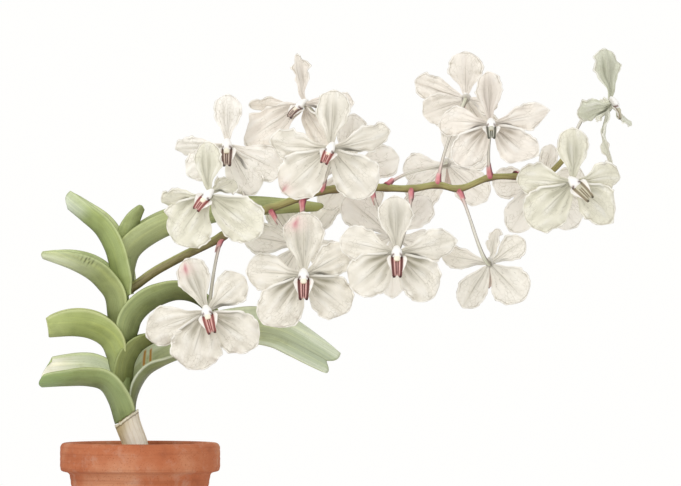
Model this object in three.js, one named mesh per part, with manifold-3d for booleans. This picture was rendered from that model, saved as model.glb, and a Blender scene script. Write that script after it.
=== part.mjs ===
// A vanda orchid in a plain clay pot: two ranks of folded strap leaves on a short leaning stem,
// and one arching flower stem with seventeen pale blooms that face every way round it.
// Millimetres, +Z up, +X along the flower stem, -Y towards the side the open blooms face.
// The origin is the middle of the pot's foot.

import * as THREE from "three";
import { mergeVertices } from "three/addons/utils/BufferGeometryUtils.js";
import Module from "manifold-3d";

const wasm = await Module();
wasm.setup();

// Driving dimensions
const SEAT = 0.3; // clearance where one piece sits in or on another
const FINEST = 0.15; // detail left out of the facets
const POT = { height: 116, rim: 64, band: 24, lip: 4, foot: 43, wall: 6, floor: 9, sides: 36 };
const DRAIN = { count: 4, radius: 4.5, ring: 22, sides: 10 };
const BARK = { top: 104, chips: 26, size: 19, seed: 7 };
const TEPAL = { thickness: 0.9, claw: 0.12, reach: 0.97, fullness: 0.75, root: 2.8, layer: 0.7 };
const COLUMN = { length: 5.5, radius: 4.5, ahead: 2 };
const LIP = { half: 5, depth: 1.5, ridge: 1.1, tilt: 58, curl: -75, root: 2.4 };
const PEDICEL = { root: 1.5, waist: 1.2, head: 2, sides: 5, steps: 5 };
const BRACT = { length: 15, root: 3.1, tip: 1.9, sides: 5 };
const LEAF = { thickness: 2, steps: 9, notch: 3, bulge: 0.1 };
const SHEATH = { radius: 9.6, low: 130.5, slope: 0.72 };

const rad = THREE.MathUtils.degToRad;
const mix = THREE.MathUtils.lerp;
const vec = (x, y, z) => new THREE.Vector3(x, y, z);
const up = vec(0, 0, 1);
const viewer = vec(0, -1, 0);

// A smooth run through three values: at the start, half way and at the end
const through = ([a, b, c], t) => a * (1 - t) * (1 - 2 * t) + 4 * b * t * (1 - t) + c * t * (2 * t - 1);

// A seeded random number from 0 to 1, so that every build is the same
function randomFrom(seed) {
  let state = seed;
  return () => {
    state = (state * 16807) % 2147483647;
    return state / 2147483647;
  };
}

// Solids

function solidOf(points, faces) {
  const vertProperties = new Float32Array(points.flatMap((p) => [p.x, p.y, p.z]));
  const triVerts = new Uint32Array(faces.flat());
  return new wasm.Manifold(new wasm.Mesh({ numProp: 3, vertProperties, triVerts }));
}

function solidFrom(geometry) {
  geometry.deleteAttribute("normal");
  geometry.deleteAttribute("uv");
  const merged = mergeVertices(geometry, 1e-3);
  const vertProperties = new Float32Array(merged.attributes.position.array);
  const triVerts = new Uint32Array(merged.index.array);
  return new wasm.Manifold(new wasm.Mesh({ numProp: 3, vertProperties, triVerts }));
}

const joined = (solids) => solids.reduce((all, solid) => all.add(solid));

// The largest body of a solid, without the scraps that a cut leaves
function largest(solid) {
  return solid.decompose().reduce((best, body) => (body.volume() > best.volume() ? body : best));
}

function meshOf(name, solid, material) {
  const cut = solid.asOriginal().simplify(FINEST).getMesh();
  const geometry = new THREE.BufferGeometry();
  geometry.setAttribute("position", new THREE.BufferAttribute(new Float32Array(cut.vertProperties), 3));
  geometry.setIndex(new THREE.BufferAttribute(new Uint32Array(cut.triVerts), 1));
  geometry.computeVertexNormals();
  const mesh = new THREE.Mesh(geometry, material);
  mesh.name = name;
  return mesh;
}

// The triangles that close an outline, given flat
const capOf = (outline) => THREE.ShapeUtils.triangulateShape(outline.map(([x, y]) => new THREE.Vector2(x, y)), []);

// A closed skin over rings of equally many points, with the cap's triangles over each end ring. A folded
// blade's two faces are split into triangles alike: the second half of each ring takes the other diagonal.
function loft(rings, cap, folded = false) {
  const sides = rings[0].length;
  const points = rings.flat();
  const faces = [];
  for (let i = 0; i + 1 < rings.length; i++) {
    for (let j = 0; j < sides; j++) {
      const k = (j + 1) % sides;
      const [a, b, c, d] = [i * sides + j, i * sides + k, (i + 1) * sides + k, (i + 1) * sides + j];
      if (folded && j >= sides / 2) faces.push([a, b, d], [b, c, d]);
      else faces.push([a, b, c], [a, c, d]);
    }
  }
  const last = (rings.length - 1) * sides;
  const turned = shareEdge(cap, 0, 1);
  for (const [a, b, c] of cap) {
    faces.push(turned ? [a, c, b] : [a, b, c], turned ? [last + a, last + b, last + c] : [last + a, last + c, last + b]);
  }
  const solid = solidOf(points, faces);
  return solid.volume() > 0 ? solid : solidOf(points, faces.map(([a, b, c]) => [a, c, b]));
}

// Whether a cap's triangles run along the edge from one point to the next
const shareEdge = (cap, from, to) => cap.some((face) => face.some((p, i) => p === from && face[(i + 1) % 3] === to));

// A round stem along a curve, its radius given by a function of the share of the way along
function stem(curve, radiusAt, sides, steps) {
  const frames = curve.computeFrenetFrames(steps);
  const rings = [];
  for (let i = 0; i <= steps; i++) {
    const centre = curve.getPointAt(i / steps);
    const ring = [];
    for (let j = 0; j < sides; j++) {
      const turn = (2 * Math.PI * j) / sides;
      const out = frames.normals[i].clone().multiplyScalar(Math.cos(turn));
      out.addScaledVector(frames.binormals[i], Math.sin(turn));
      ring.push(centre.clone().addScaledVector(out, radiusAt(i / steps)));
    }
    rings.push(ring);
  }
  const fan = Array.from({ length: sides - 2 }, (_, j) => [0, j + 1, j + 2]);
  return loft(rings, fan);
}

// A thin blade with a front and a back face, split into triangles alike, and a rim between them
function blade(middle, stations, cols, thickness) {
  const step = 1e-3;
  const rows = stations.length - 1;
  const points = [];
  for (const side of [0.5, -0.5]) {
    for (let i = 0; i <= rows; i++) {
      for (let j = 0; j <= cols; j++) {
        const [u, v] = [stations[i], (2 * j) / cols - 1];
        const along = middle(u + step, v).sub(middle(u - step, v));
        const across = middle(u, v + step).sub(middle(u, v - step));
        const normal = along.cross(across).normalize();
        points.push(middle(u, v).addScaledVector(normal, side * thickness));
      }
    }
  }
  const front = (i, j) => i * (cols + 1) + j;
  const back = (i, j) => (rows + 1) * (cols + 1) + front(i, j);
  const faces = [];
  const rim = [];
  for (let i = 0; i < rows; i++) {
    for (let j = 0; j < cols; j++) {
      faces.push([front(i, j), front(i + 1, j), front(i + 1, j + 1)]);
      faces.push([front(i, j), front(i + 1, j + 1), front(i, j + 1)]);
      faces.push([back(i, j), back(i + 1, j + 1), back(i + 1, j)]);
      faces.push([back(i, j), back(i, j + 1), back(i + 1, j + 1)]);
    }
    rim.push([i, 0, i + 1, 0], [i + 1, cols, i, cols]);
  }
  for (let j = 0; j < cols; j++) rim.push([rows, j, rows, j + 1], [0, j + 1, 0, j]);
  for (const [i, j, k, l] of rim) {
    faces.push([front(k, l), front(i, j), back(i, j)], [front(k, l), back(i, j), back(k, l)]);
  }
  return solidOf(points, faces);
}

// Blooms
// at: the middle of the bloom. face: the way it looks, as degrees to the right and up.
// tepals: the back sepal, the two petals and the two lower sepals, each as degrees clockwise from the
// bloom's own top, length, width, degrees forward at the root, degrees it curls over its length, and
// degrees it is turned on its own axis. lip: degrees clockwise from the top, degrees forward, and length.
// stalk: where on the flower stem its stalk springs, and the way the stalk sets out.
// grain: where along the tepals their facets end, and how many lie across.
const OPEN = { stations: [0, 0.22, 0.45, 0.66, 0.84, 0.95, 1], cols: 2 };
const HIDDEN = { stations: [0, 0.28, 0.56, 0.8, 0.94, 1], cols: 2 };
const BLOOMS = [
  {
    name: "01", at: [54, -22, 221], face: [-4, 2], grain: OPEN, lip: [164, 2, 19],
    tepals: [
      [-22, 46, 27, 6, -14, 10], [46, 42, 28, -4, -20, -8], [-109, 54, 31, 4, -24, 12],
      [124, 49, 35, 4, -22, 0], [-162, 49, 42, 8, -26, 0],
    ],
    stalk: [[66, 0, 281], [-3, -3, -8]],
  },
  {
    name: "02", at: [56, -36, 314], face: [-20, -3], grain: OPEN, lip: [-146, 10, 15],
    tepals: [
      [-3, 43, 25, 4, -14, 6], [52, 32, 20, -58, -10, 20], [-99, 42, 24, 6, -20, 52],
      [128, 53, 38, 2, -16, 0], [-141, 50, 43, 8, -22, 0],
    ],
    stalk: [[78, 0, 290], [-4, -6, 4]],
  },
  {
    name: "03", at: [70, -3, 354], face: [-6, 0], grain: OPEN, lip: [178, 0, 17],
    tepals: [
      [0, 41, 23, 4, -10, 0], [117, 50, 30, -8, -8, -6], [-94, 44, 20, 0, -22, 46],
      [152, 46, 30, -4, -14, 0], [-126, 42, 27, -2, -16, 0],
    ],
    stalk: [[90, 0, 298], [-4, 0, 8]],
  },
  {
    name: "04", at: [131, 1, 386], face: [-46, 6], grain: OPEN, lip: [200, 20, 14],
    tepals: [
      [-4, 42, 24, 10, 10, 16], [84, 43, 24, -26, -14, 34], [-93, 50, 17, 26, -14, 62],
      [146, 42, 28, -6, -16, 0], [-127, 60, 37, 34, -24, 0],
    ],
    stalk: [[131, 0, 311], [1, 0, 8]],
  },
  {
    name: "05", at: [153, -44, 351], face: [-10, -6], grain: OPEN, lip: [-160, 24, 15],
    tepals: [
      [2, 47, 29, 4, -26, 8], [77, 49, 25, 0, -24, -34], [-89, 49, 30, -2, -18, 22],
      [140, 50, 38, 4, -20, 0], [-131, 56, 38, 4, -20, 0],
    ],
    stalk: [[145, 0, 317], [2, -6, 6]],
  },
  {
    name: "06", at: [131, -26, 250], face: [0, 0], grain: OPEN, lip: [180, 0, 20],
    tepals: [
      [0, 51, 33, 2, -14, 4], [62, 42, 28, -2, -18, -10], [-86, 47, 31, 0, -18, 10],
      [128, 47, 36, 4, -22, 0], [-144, 51, 37, 6, -22, 0],
    ],
    stalk: [[130, 0, 310], [0, -3, -9]],
  },
  {
    name: "07", at: [205, -44, 268], face: [2, 0], grain: OPEN, lip: [180, 0, 20],
    tepals: [
      [-2, 46, 28, 2, -16, 4], [79, 48, 26, -2, -18, -14], [-77, 47, 29, 0, -18, 12],
      [137, 47, 35, 6, -22, 0], [-129, 47, 36, 4, -22, 0],
    ],
    stalk: [[217, 0, 319], [0, -4, -9]],
  },
  {
    name: "08", at: [280, 6, 259], face: [164, -14], grain: HIDDEN, lip: [180, 0, 18],
    tepals: [
      [-8, 30, 17, -8, 24, 40], [-54, 34, 21, -4, 10, -10], [78, 44, 19, 0, 14, 30],
      [148, 42, 24, 4, 12, 20], [-134, 42, 33, 0, 10, 0],
    ],
    stalk: [[255, 0, 319], [4, 1, -9]],
  },
  {
    name: "09", at: [280, -32, 370], face: [2, 12], grain: OPEN, lip: [180, 8, 14],
    tepals: [
      [-3, 44, 23, 2, -6, 32], [77, 46, 22, -2, -16, -22], [-84, 42, 24, 2, -18, 16],
      [131, 43, 30, 4, -20, 0], [-139, 43, 28, 6, -18, 10],
    ],
    stalk: [[280, 0, 328], [-1, -3, 8]],
  },
  {
    name: "10", at: [261, 16, 391], face: [170, 10], grain: HIDDEN, lip: [180, 0, 18],
    tepals: [
      [-2, 39, 29, -4, 8, 0], [-96, 34, 20, -28, -14, 20], [72, 45, 23, 0, 14, 10],
      [110, 38, 27, 0, 8, 0], [-148, 38, 25, 4, 8, 0],
    ],
    stalk: [[238, 0, 322], [1, 1, 8]],
  },
  {
    name: "11", at: [246, 42, 339], face: [178, -4], grain: HIDDEN, lip: [180, 0, 18],
    tepals: [
      [-16, 38, 24, 0, 8, 0], [-74, 36, 24, 0, 8, 0], [98, 36, 25, 0, 8, 0],
      [-132, 44, 29, 0, 8, 0], [138, 44, 29, 0, 8, 0],
    ],
    stalk: [[197, 0, 321], [5, 5, 5]],
  },
  {
    name: "12", at: [346, -20, 324], face: [10, -4], grain: OPEN, lip: [138, 14, 20],
    tepals: [
      [-1, 44, 26, 4, -12, 6], [80, 41, 25, -4, -16, -22], [-87, 46, 28, 0, -18, 14],
      [129, 43, 32, 6, -20, 0], [-135, 50, 38, 6, -22, 0],
    ],
    stalk: [[316, 0, 329], [6, -4, 3]],
  },
  {
    name: "13", at: [322, 24, 325], face: [182, 4], grain: HIDDEN, lip: [180, 0, 18],
    tepals: [
      [-15, 31, 15, 0, 8, 0], [-88, 36, 24, 0, 8, 0], [92, 40, 26, 0, 8, 0],
      [-142, 47, 30, 0, 6, 0], [148, 48, 27, 0, 6, 0],
    ],
    stalk: [[300, 0, 330], [5, 6, 1]],
  },
  {
    name: "14", at: [377, 12, 388], face: [72, -8], grain: OPEN, lip: [180, 14, 13],
    tepals: [
      [0, 44, 26, -14, 4, 44], [112, 34, 20, -34, -8, 0], [-116, 36, 21, -34, -8, 10],
      [146, 27, 17, 44, 8, 24], [-168, 49, 18, -16, 62, 30],
    ],
    stalk: [[342, 0, 346], [3, 2, 8]],
  },
  {
    name: "15", at: [202, 13, 281], face: [176, 0], grain: HIDDEN, lip: [0, 0, 18],
    tepals: [
      [-44, 43, 27, 0, 10, 0], [50, 51, 32, -2, 8, 0], [-106, 42, 26, 0, 8, 0],
      [112, 42, 26, 0, 8, 0], [180, 50, 24, 0, 6, 0],
    ],
    stalk: [[185, 0, 320], [2, 1, -8]],
  },
  {
    name: "16", at: [167, 19, 334], face: [180, 6], grain: HIDDEN, lip: [180, 0, 18],
    tepals: [
      [-5, 46, 25, 0, 8, 0], [-76, 42, 27, 0, 8, 0], [78, 40, 25, 0, 8, 0],
      [-140, 38, 25, 0, 8, 0], [146, 38, 24, 0, 8, 0],
    ],
    stalk: [[157, 0, 319], [2, 7, 3]],
  },
  {
    name: "17", at: [128, 27, 274], face: [182, 0], grain: HIDDEN, lip: [180, 0, 18],
    tepals: [
      [32, 42, 26, 0, 10, 0], [-38, 48, 22, 0, 8, 24], [80, 47, 26, 0, 8, 0],
      [-112, 38, 26, 0, 8, 0], [148, 40, 26, 0, 8, 0],
    ],
    stalk: [[104, 0, 303], [4, 2, -7]],
  },
];

// The bloom's own axes: out of its face, up its face and across its face
function axesOf(face) {
  const [turn, tilt] = face.map(rad);
  const out = vec(Math.sin(turn) * Math.cos(tilt), -Math.cos(turn) * Math.cos(tilt), Math.sin(tilt));
  const top = up.clone().addScaledVector(out, -up.dot(out)).normalize();
  return { out, top, right: top.clone().cross(out) };
}

// A line that leaves the middle at a tilt to the face and curls evenly: how far it is out along the face
// and in front of it
function curled(length, tilt, curl, u) {
  const bend = curl || 1e-4;
  const ahead = tilt + bend * u;
  return {
    reach: (length * (Math.sin(ahead) - Math.sin(tilt))) / bend,
    rise: (length * (Math.cos(tilt) - Math.cos(ahead))) / bend,
    ahead,
  };
}

// The middle of a tepal: its outline is a sine that leans to the tip, its edges fall back and wave
function tepalSurface(bloom, row, order) {
  const [angle, length, width, tilt, curl, twist] = row;
  const { out, top, right } = axesOf(bloom.face);
  const away = top.clone().multiplyScalar(Math.cos(rad(angle))).addScaledVector(right, Math.sin(rad(angle)));
  const over = right.clone().multiplyScalar(Math.cos(rad(angle))).addScaledVector(top, -Math.sin(rad(angle)));
  const lean = order > 2 ? 1.25 : 1.5;
  const phase = (Number(bloom.name) * 0.37 + order * 0.61) % 1;
  const layer = order === 1 || order === 2 ? TEPAL.layer : -TEPAL.layer;
  return (u, v) => {
    const along = Math.min(Math.max(u, 0), 1.01) * TEPAL.reach;
    const swell = Math.sin(Math.PI * along ** lean) ** TEPAL.fullness;
    const half = (width / 2) * (TEPAL.claw + (1 - TEPAL.claw) * swell);
    const { reach, rise, ahead } = curled(length - TEPAL.root, rad(tilt), rad(curl), u);
    const normal = out.clone().multiplyScalar(Math.cos(ahead)).addScaledVector(away, -Math.sin(ahead));
    const turn = rad(twist) * (0.6 + 0.4 * u);
    const side = over.clone().multiplyScalar(Math.cos(turn)).addScaledVector(normal, Math.sin(turn));
    normal.multiplyScalar(Math.cos(turn)).addScaledVector(over, -Math.sin(turn));
    const wave = Math.sin(2 * Math.PI * (1.6 * u + phase + 0.2 * v)) * 0.1 * u;
    const point = vec(...bloom.at).addScaledVector(away, reach + TEPAL.root).addScaledVector(out, rise + layer);
    point.addScaledVector(side, v * half);
    return point.addScaledVector(normal, half * v * v * (wave - 0.12));
  };
}

function columnOf(bloom, grown) {
  const { out } = axesOf(bloom.face);
  const ball = new THREE.SphereGeometry(1, 7, 5);
  ball.rotateX(Math.PI / 2);
  ball.scale(COLUMN.radius + grown, COLUMN.radius + grown, COLUMN.length + grown);
  ball.applyQuaternion(new THREE.Quaternion().setFromUnitVectors(up, out));
  ball.translate(...vec(...bloom.at).addScaledVector(out, COLUMN.ahead).toArray());
  return solidFrom(ball);
}

// The stalk swells from the flower stem to the back of the bloom
function pedicelOf(bloom) {
  const [root, way] = bloom.stalk.map((p) => vec(...p));
  const { out, top } = axesOf(bloom.face);
  const head = vec(...bloom.at);
  const reach = root.distanceTo(head) * 0.42;
  const leave = root.clone().addScaledVector(way.normalize(), reach);
  const arrive = head.clone().addScaledVector(out, -reach).addScaledVector(top, -0.2 * reach);
  const curve = new THREE.CubicBezierCurve3(root, leave, arrive, head);
  const radiusAt = (t) => (t < 0.4 ? mix(PEDICEL.root, PEDICEL.waist, t / 0.4) : mix(PEDICEL.waist, PEDICEL.head, (t - 0.4) / 0.6));
  return stem(curve, radiusAt, PEDICEL.sides, PEDICEL.steps);
}

function flowerOf(bloom, grown = 0) {
  const { stations, cols } = bloom.grain;
  const tepals = bloom.tepals.map((row, order) =>
    blade(tepalSurface(bloom, row, order), stations, cols, TEPAL.thickness + 2 * grown),
  );
  return joined([columnOf(bloom, grown), ...tepals]);
}

// The lip is a strap with three keels that juts out under the column and hangs down
function lipOf(bloom) {
  const { out, top, right } = axesOf(bloom.face);
  const [angle, lift] = bloom.lip.map(rad);
  const length = bloom.lip[2];
  const away = top.clone().multiplyScalar(Math.cos(angle)).addScaledVector(right, Math.sin(angle));
  const over = right.clone().multiplyScalar(Math.cos(angle)).addScaledVector(top, -Math.sin(angle));
  const widths = [0.7, 1, 0.86, 0.5];
  const section = [[-1, 0.2], [-0.5, 1], [0, 0.2], [0.5, 1], [1, 0.2], [0.5, -1], [-0.5, -1]];
  const rings = widths.map((share, i) => {
    const { reach, rise, ahead } = curled(length, rad(LIP.tilt) + lift, rad(LIP.curl), i / (widths.length - 1));
    const normal = out.clone().multiplyScalar(Math.cos(ahead)).addScaledVector(away, -Math.sin(ahead));
    const centre = vec(...bloom.at).addScaledVector(out, rise + LIP.root).addScaledVector(away, reach + LIP.root);
    return section.map(([across, height]) => {
      const raised = height > 0 ? height * LIP.ridge * share : height * LIP.depth;
      return centre.clone().addScaledVector(over, across * share * LIP.half).addScaledVector(normal, raised);
    });
  });
  return loft(rings, capOf(section));
}

// The flower stem
const flowerStemCurve = new THREE.CatmullRomCurve3(
  [
    [-12, 1, 236], [-2, 1, 243], [12, 1, 253], [34, 0, 265], [66, 0, 281], [90, 0, 298],
    [112, 1, 306], [145, 0, 317], [185, 0, 320], [217, 0, 319], [238, 0, 322], [255, 0, 319],
    [280, 0, 328], [304, 0, 329], [326, 1, 331], [342, 0, 346],
  ].map((p) => vec(...p)),
);

// The pink sleeve at the foot of a stalk, which lies along the way the stalk sets out
function bractOf(bloom, grown) {
  const [root, way] = bloom.stalk.map((p) => vec(...p));
  const tip = root.clone().addScaledVector(way.normalize(), BRACT.length + grown);
  const radiusAt = (t) => mix(BRACT.root, BRACT.tip, t) + grown;
  return stem(new THREE.LineCurve3(root, tip), radiusAt, BRACT.sides, 1);
}

function flowerStem(grown = 0) {
  const radiusAt = (t) => mix(3.8, 2.2, t) + grown;
  return joined([stem(flowerStemCurve, radiusAt, 6, 26), ...BLOOMS.map((bloom) => bractOf(bloom, grown))]);
}

// The leafy stem
const stemCurve = new THREE.CatmullRomCurve3(
  [
    [2, 0, 84], [-3, 0, 112], [-10, 0, 132], [-13, 0, 150], [-14, 0, 175], [-15, 0, 200],
    [-14, 0, 225], [-12, 0, 248], [-10, 0, 264],
  ].map((p) => vec(...p)),
);

// The slanting plane of the sheath's top, facing down to keep what is below it or up to keep what is above
function sheathTop(facing, clearance) {
  const way = vec(SHEATH.slope, 0, -1).normalize().multiplyScalar(facing);
  return [way.toArray(), way.dot(vec(-18, 0, SHEATH.low)) + clearance];
}

// The stem, whose foot wears a dry sheath
function leafyStem(grown = 0) {
  const inner = stem(stemCurve, (t) => through([8, 6.4, 3], t) + grown, 10, 14);
  const sheath = stem(stemCurve, (t) => mix(SHEATH.radius, SHEATH.radius + 2, t) + grown, 10, 14);
  return inner.add(sheath.trimByPlane(...sheathTop(1, -grown)));
}

// Leaves
// keel: the fold's line. side: -1 for the left rank, 1 for the right. half: the width of one half at the
// root, middle and end. near, far: degrees between each half and the leaf's upright at those places.
// end: how far the near and far lobes run past the fold.
const LEAVES = [
  { name: "01", side: -1, half: [19, 26, 21], near: [24, 52, 60], far: [24, 4, 4], end: [-1, -10],
    keel: [[-14, 0, 118], [-19, 0, 132], [-24, 0, 148], [-31, -1, 159], [-42, -3, 162], [-58, -5, 162], [-79, -8, 161]] },
  { name: "02", side: 1, half: [19, 24, 15], near: [60, 100, 128], far: [22, 8, 40], end: [5, 7],
    keel: [[-5, 1, 141], [-4, 2, 150], [0, 4, 161], [7, 9, 171], [16, 14, 177], [27, 18, 183], [50, 24, 193],
      [74, 28, 200], [92, 29, 203], [108, 29, 201], [122, 28, 195], [134, 27, 189], [149, 26, 181]] },
  { name: "03", side: 1, half: [18, 19, 8], near: [28, 32, 30], far: [24, 20, 20], end: [2, 2],
    keel: [[-9, -1, 152], [-4, -1, 168], [-2, -1, 180], [3, 0, 190], [12, 1, 197]] },
  { name: "04", side: -1, half: [6, 24, 18], near: [26, 30, 32], far: [24, 28, 30], end: [1, 1],
    keel: [[-21, 0, 168], [-25, 0, 183], [-30, 0, 194], [-40, -1, 200], [-52, -2, 202], [-73, -4, 201]] },
  { name: "05", side: 1, half: [18, 20, 6], near: [30, 38, 55], far: [24, 38, 50], end: [2, 2],
    keel: [[-9, 0, 190], [-3, 0, 204], [0, 1, 213], [7, 2, 221], [17, 5, 227], [31, 7, 231], [46, 10, 227], [66, 13, 206]] },
  { name: "06", side: -1, half: [9, 21, 7], near: [26, 36, 44], far: [24, 26, 44], end: [1, 1],
    keel: [[-24, 0, 204], [-25, 0, 220], [-27, 0, 232], [-32, 0, 239], [-40, -1, 247], [-54, -3, 255], [-78, -6, 264]] },
  { name: "07", side: -1, half: [17, 19, 15], near: [28, 34, 32], far: [26, 18, 34], end: [7, 5],
    keel: [[-19, 0, 240], [-23, 0, 256], [-27, 0, 270], [-35, 0, 284], [-46, -1, 294], [-58, -2, 304]] },
  { name: "08", side: 1, half: [19, 19, 6], near: [28, 28, 14], far: [26, 8, 8], end: [2, 2],
    keel: [[-7, 2, 240], [-5, 4, 257], [-1, 6, 267], [19, 10, 281], [40, 13, 288], [64, 14, 294], [88, 15, 298],
      [112, 15, 300], [143, 14, 302]] },
  { name: "09", side: 1, half: [12, 15, 6], near: [26, 28, 30], far: [26, 24, 30], end: [1, 1],
    keel: [[-6, 1, 268], [-4, 1, 281], [-1, 1, 293], [3, 1, 303]] },
];

// A leaf's section is a V: two halves that bulge a little, meeting in the keel
function leafOf(leaf, grown = 0) {
  const curve = new THREE.CatmullRomCurve3(leaf.keel.map((p) => vec(...p)));
  const rings = [];
  for (let i = 0; i <= LEAF.steps; i++) {
    const t = i / LEAF.steps;
    const half = through(leaf.half, t) + grown;
    const keel = curve.getPointAt(t);
    const along = curve.getTangentAt(t);
    const near = viewer.clone().addScaledVector(along, -viewer.dot(along)).normalize();
    const upright = leaf.side < 0 ? along.clone().cross(near) : near.clone().cross(along);
    const end = i === LEAF.steps ? 1 : 0;
    const thick = mix(LEAF.thickness, LEAF.thickness * 0.7, t) / 2 + grown;
    const arm = (angles, sign) => {
      const angle = rad(through(angles, t));
      const reach = upright.clone().multiplyScalar(Math.cos(angle)).addScaledVector(near, sign * Math.sin(angle));
      const outward = near.clone().multiplyScalar(sign * Math.cos(angle)).addScaledVector(upright, -Math.sin(angle));
      return { reach, outward };
    };
    const [front, back] = [arm(leaf.near, 1), arm(leaf.far, -1)];
    const on = ({ reach, outward }, share, shift, lobe) =>
      keel.clone()
        .addScaledVector(reach, share * half)
        .addScaledVector(outward, shift * thick + Math.sin(Math.PI * share) * LEAF.bulge * half)
        .addScaledVector(along, end * (lobe * share + LEAF.notch * Math.sin(Math.PI * share)));
    const fold = (shift) => keel.clone().addScaledVector(upright, shift * thick * 1.6);
    const [a, b] = leaf.end;
    rings.push([
      on(front, 1, 1, a), on(front, 0.5, 1, a), fold(-1), on(back, 0.5, 1, b), on(back, 1, 1, b),
      on(back, 1, -1, b), on(back, 0.5, -1, b), fold(1), on(front, 0.5, -1, a), on(front, 1, -1, a),
    ]);
  }
  const strips = [[0, 1, 8, 9], [1, 2, 7, 8], [2, 3, 6, 7], [3, 4, 5, 6]];
  return loft(rings, strips.flatMap(([a, b, c, d]) => [[a, b, c], [a, c, d]]), true);
}

// Pot and bark

// The inside radius of the pot's wall at a height
function potInside(z) {
  return mix(POT.foot, POT.rim - POT.lip, z / POT.height) - POT.wall;
}

function potSolid() {
  const shoulder = POT.height - POT.band;
  const bodyTop = mix(POT.foot, POT.rim - POT.lip, shoulder / POT.height);
  const profile = [
    [0, 0], [POT.foot - 1.5, 0], [POT.foot, 1.5], [bodyTop, shoulder], [POT.rim - 1.5, shoulder + 1],
    [POT.rim, shoulder + 3], [POT.rim, POT.height - 3], [POT.rim - 2, POT.height],
    [POT.rim - POT.lip - 4, POT.height], [potInside(POT.height - 4), POT.height - 4],
    [potInside(POT.floor), POT.floor], [0, POT.floor],
  ];
  const turned = new THREE.LatheGeometry(profile.map(([r, z]) => new THREE.Vector2(r, z)), POT.sides);
  turned.rotateX(Math.PI / 2);
  let pot = solidFrom(turned);
  for (let i = 0; i < DRAIN.count; i++) {
    const turn = (2 * Math.PI * (i + 0.5)) / DRAIN.count;
    const hole = new THREE.CylinderGeometry(DRAIN.radius, DRAIN.radius, 3 * POT.floor, DRAIN.sides);
    hole.rotateX(Math.PI / 2);
    hole.translate(DRAIN.ring * Math.cos(turn), DRAIN.ring * Math.sin(turn), 0);
    pot = pot.subtract(solidFrom(hole));
  }
  return pot;
}

// The bark fills the pot, with chips that stand out of its top at all angles
function barkSolid() {
  const random = randomFrom(BARK.seed);
  const low = POT.floor + SEAT;
  const bed = new THREE.CylinderGeometry(
    potInside(BARK.top) - SEAT - 0.3, potInside(low) - SEAT - 0.3, BARK.top - low, POT.sides);
  bed.rotateX(Math.PI / 2);
  bed.translate(0, 0, (BARK.top + low) / 2);
  const chips = [];
  for (let i = 0; i < BARK.chips; i++) {
    const turn = i * rad(137.5);
    const out = (potInside(BARK.top) - 0.66 * BARK.size) * Math.sqrt((i + 0.5) / BARK.chips);
    const chip = new THREE.BoxGeometry(
      BARK.size * (0.7 + 0.4 * random()), BARK.size * (0.5 + 0.3 * random()), BARK.size * 0.4);
    chip.rotateX(random() - 0.5);
    chip.rotateY(random() - 0.5);
    chip.rotateZ(6 * random());
    chip.translate(out * Math.cos(turn), out * Math.sin(turn), BARK.top - 0.5);
    chips.push(solidFrom(chip));
  }
  return joined([solidFrom(bed), ...chips]);
}

// Materials
const finish = (color, roughness) => new THREE.MeshStandardMaterial({ color, roughness, metalness: 0 });
const CLAY = finish("#b5714e", 0.85);
const BARK_BROWN = finish("#6a4a34", 0.9);
const LEAF_GREEN = finish("#7f9a5c", 0.5);
const STEM_TAN = finish("#cbb791", 0.7);
const STALK_GREEN = finish("#7d8446", 0.55);
const TEPAL_WHITE = finish("#e6e2d8", 0.6);
const LIP_ROSE = finish("#a85a62", 0.5);

// Assembly: each piece is cut by what it sits in or on, grown by the seat's clearance
const plant = new THREE.Group();
const add = (name, solid, material) => plant.add(meshOf(name, solid, material));

const stemWide = leafyStem(SEAT);
const flowerStemWide = flowerStem(SEAT);
const flowerStemWidest = flowerStem(2 * SEAT);
add("pot", potSolid(), CLAY);
add("bark_bed", largest(barkSolid().subtract(stemWide)), BARK_BROWN);
add("leafy_stem", leafyStem(), STEM_TAN);
add("flower_stem", largest(flowerStem().subtract(stemWide)), STALK_GREEN);

const leavesWide = [];
for (const leaf of LEAVES) {
  const cutters = [stemWide, flowerStemWide, ...leavesWide];
  const whole = leaf.name === "01" ? leafOf(leaf).trimByPlane(...sheathTop(-1, SEAT)) : leafOf(leaf);
  const solid = cutters.reduce((rest, cutter) => rest.subtract(cutter), whole);
  add(`leaf_${leaf.name}`, largest(solid), LEAF_GREEN);
  leavesWide.push(leafOf(leaf, SEAT));
}

for (const bloom of BLOOMS) {
  const flower = flowerOf(bloom).add(pedicelOf(bloom).subtract(flowerStemWidest));
  add(`bloom_${bloom.name}`, largest(flower), TEPAL_WHITE);
  add(`lip_${bloom.name}`, largest(lipOf(bloom).subtract(flowerOf(bloom, SEAT))), LIP_ROSE);
}

export default plant;
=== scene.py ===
"""A vanda orchid in a plain clay pot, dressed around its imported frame.

Every surface is a function of two parameters, worked out on a grid with numpy. Shapes are in millimetres until
they are put into a mesh, which is in metres. +Z is up, +X runs along the flower stem, -Y is where the open
blooms look. All pieces ride on the one body, "root".
"""

from __future__ import annotations

import logging
import math
from dataclasses import astuple, dataclass, field
from enum import Enum
from typing import Any, Optional, Sequence, Union

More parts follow.
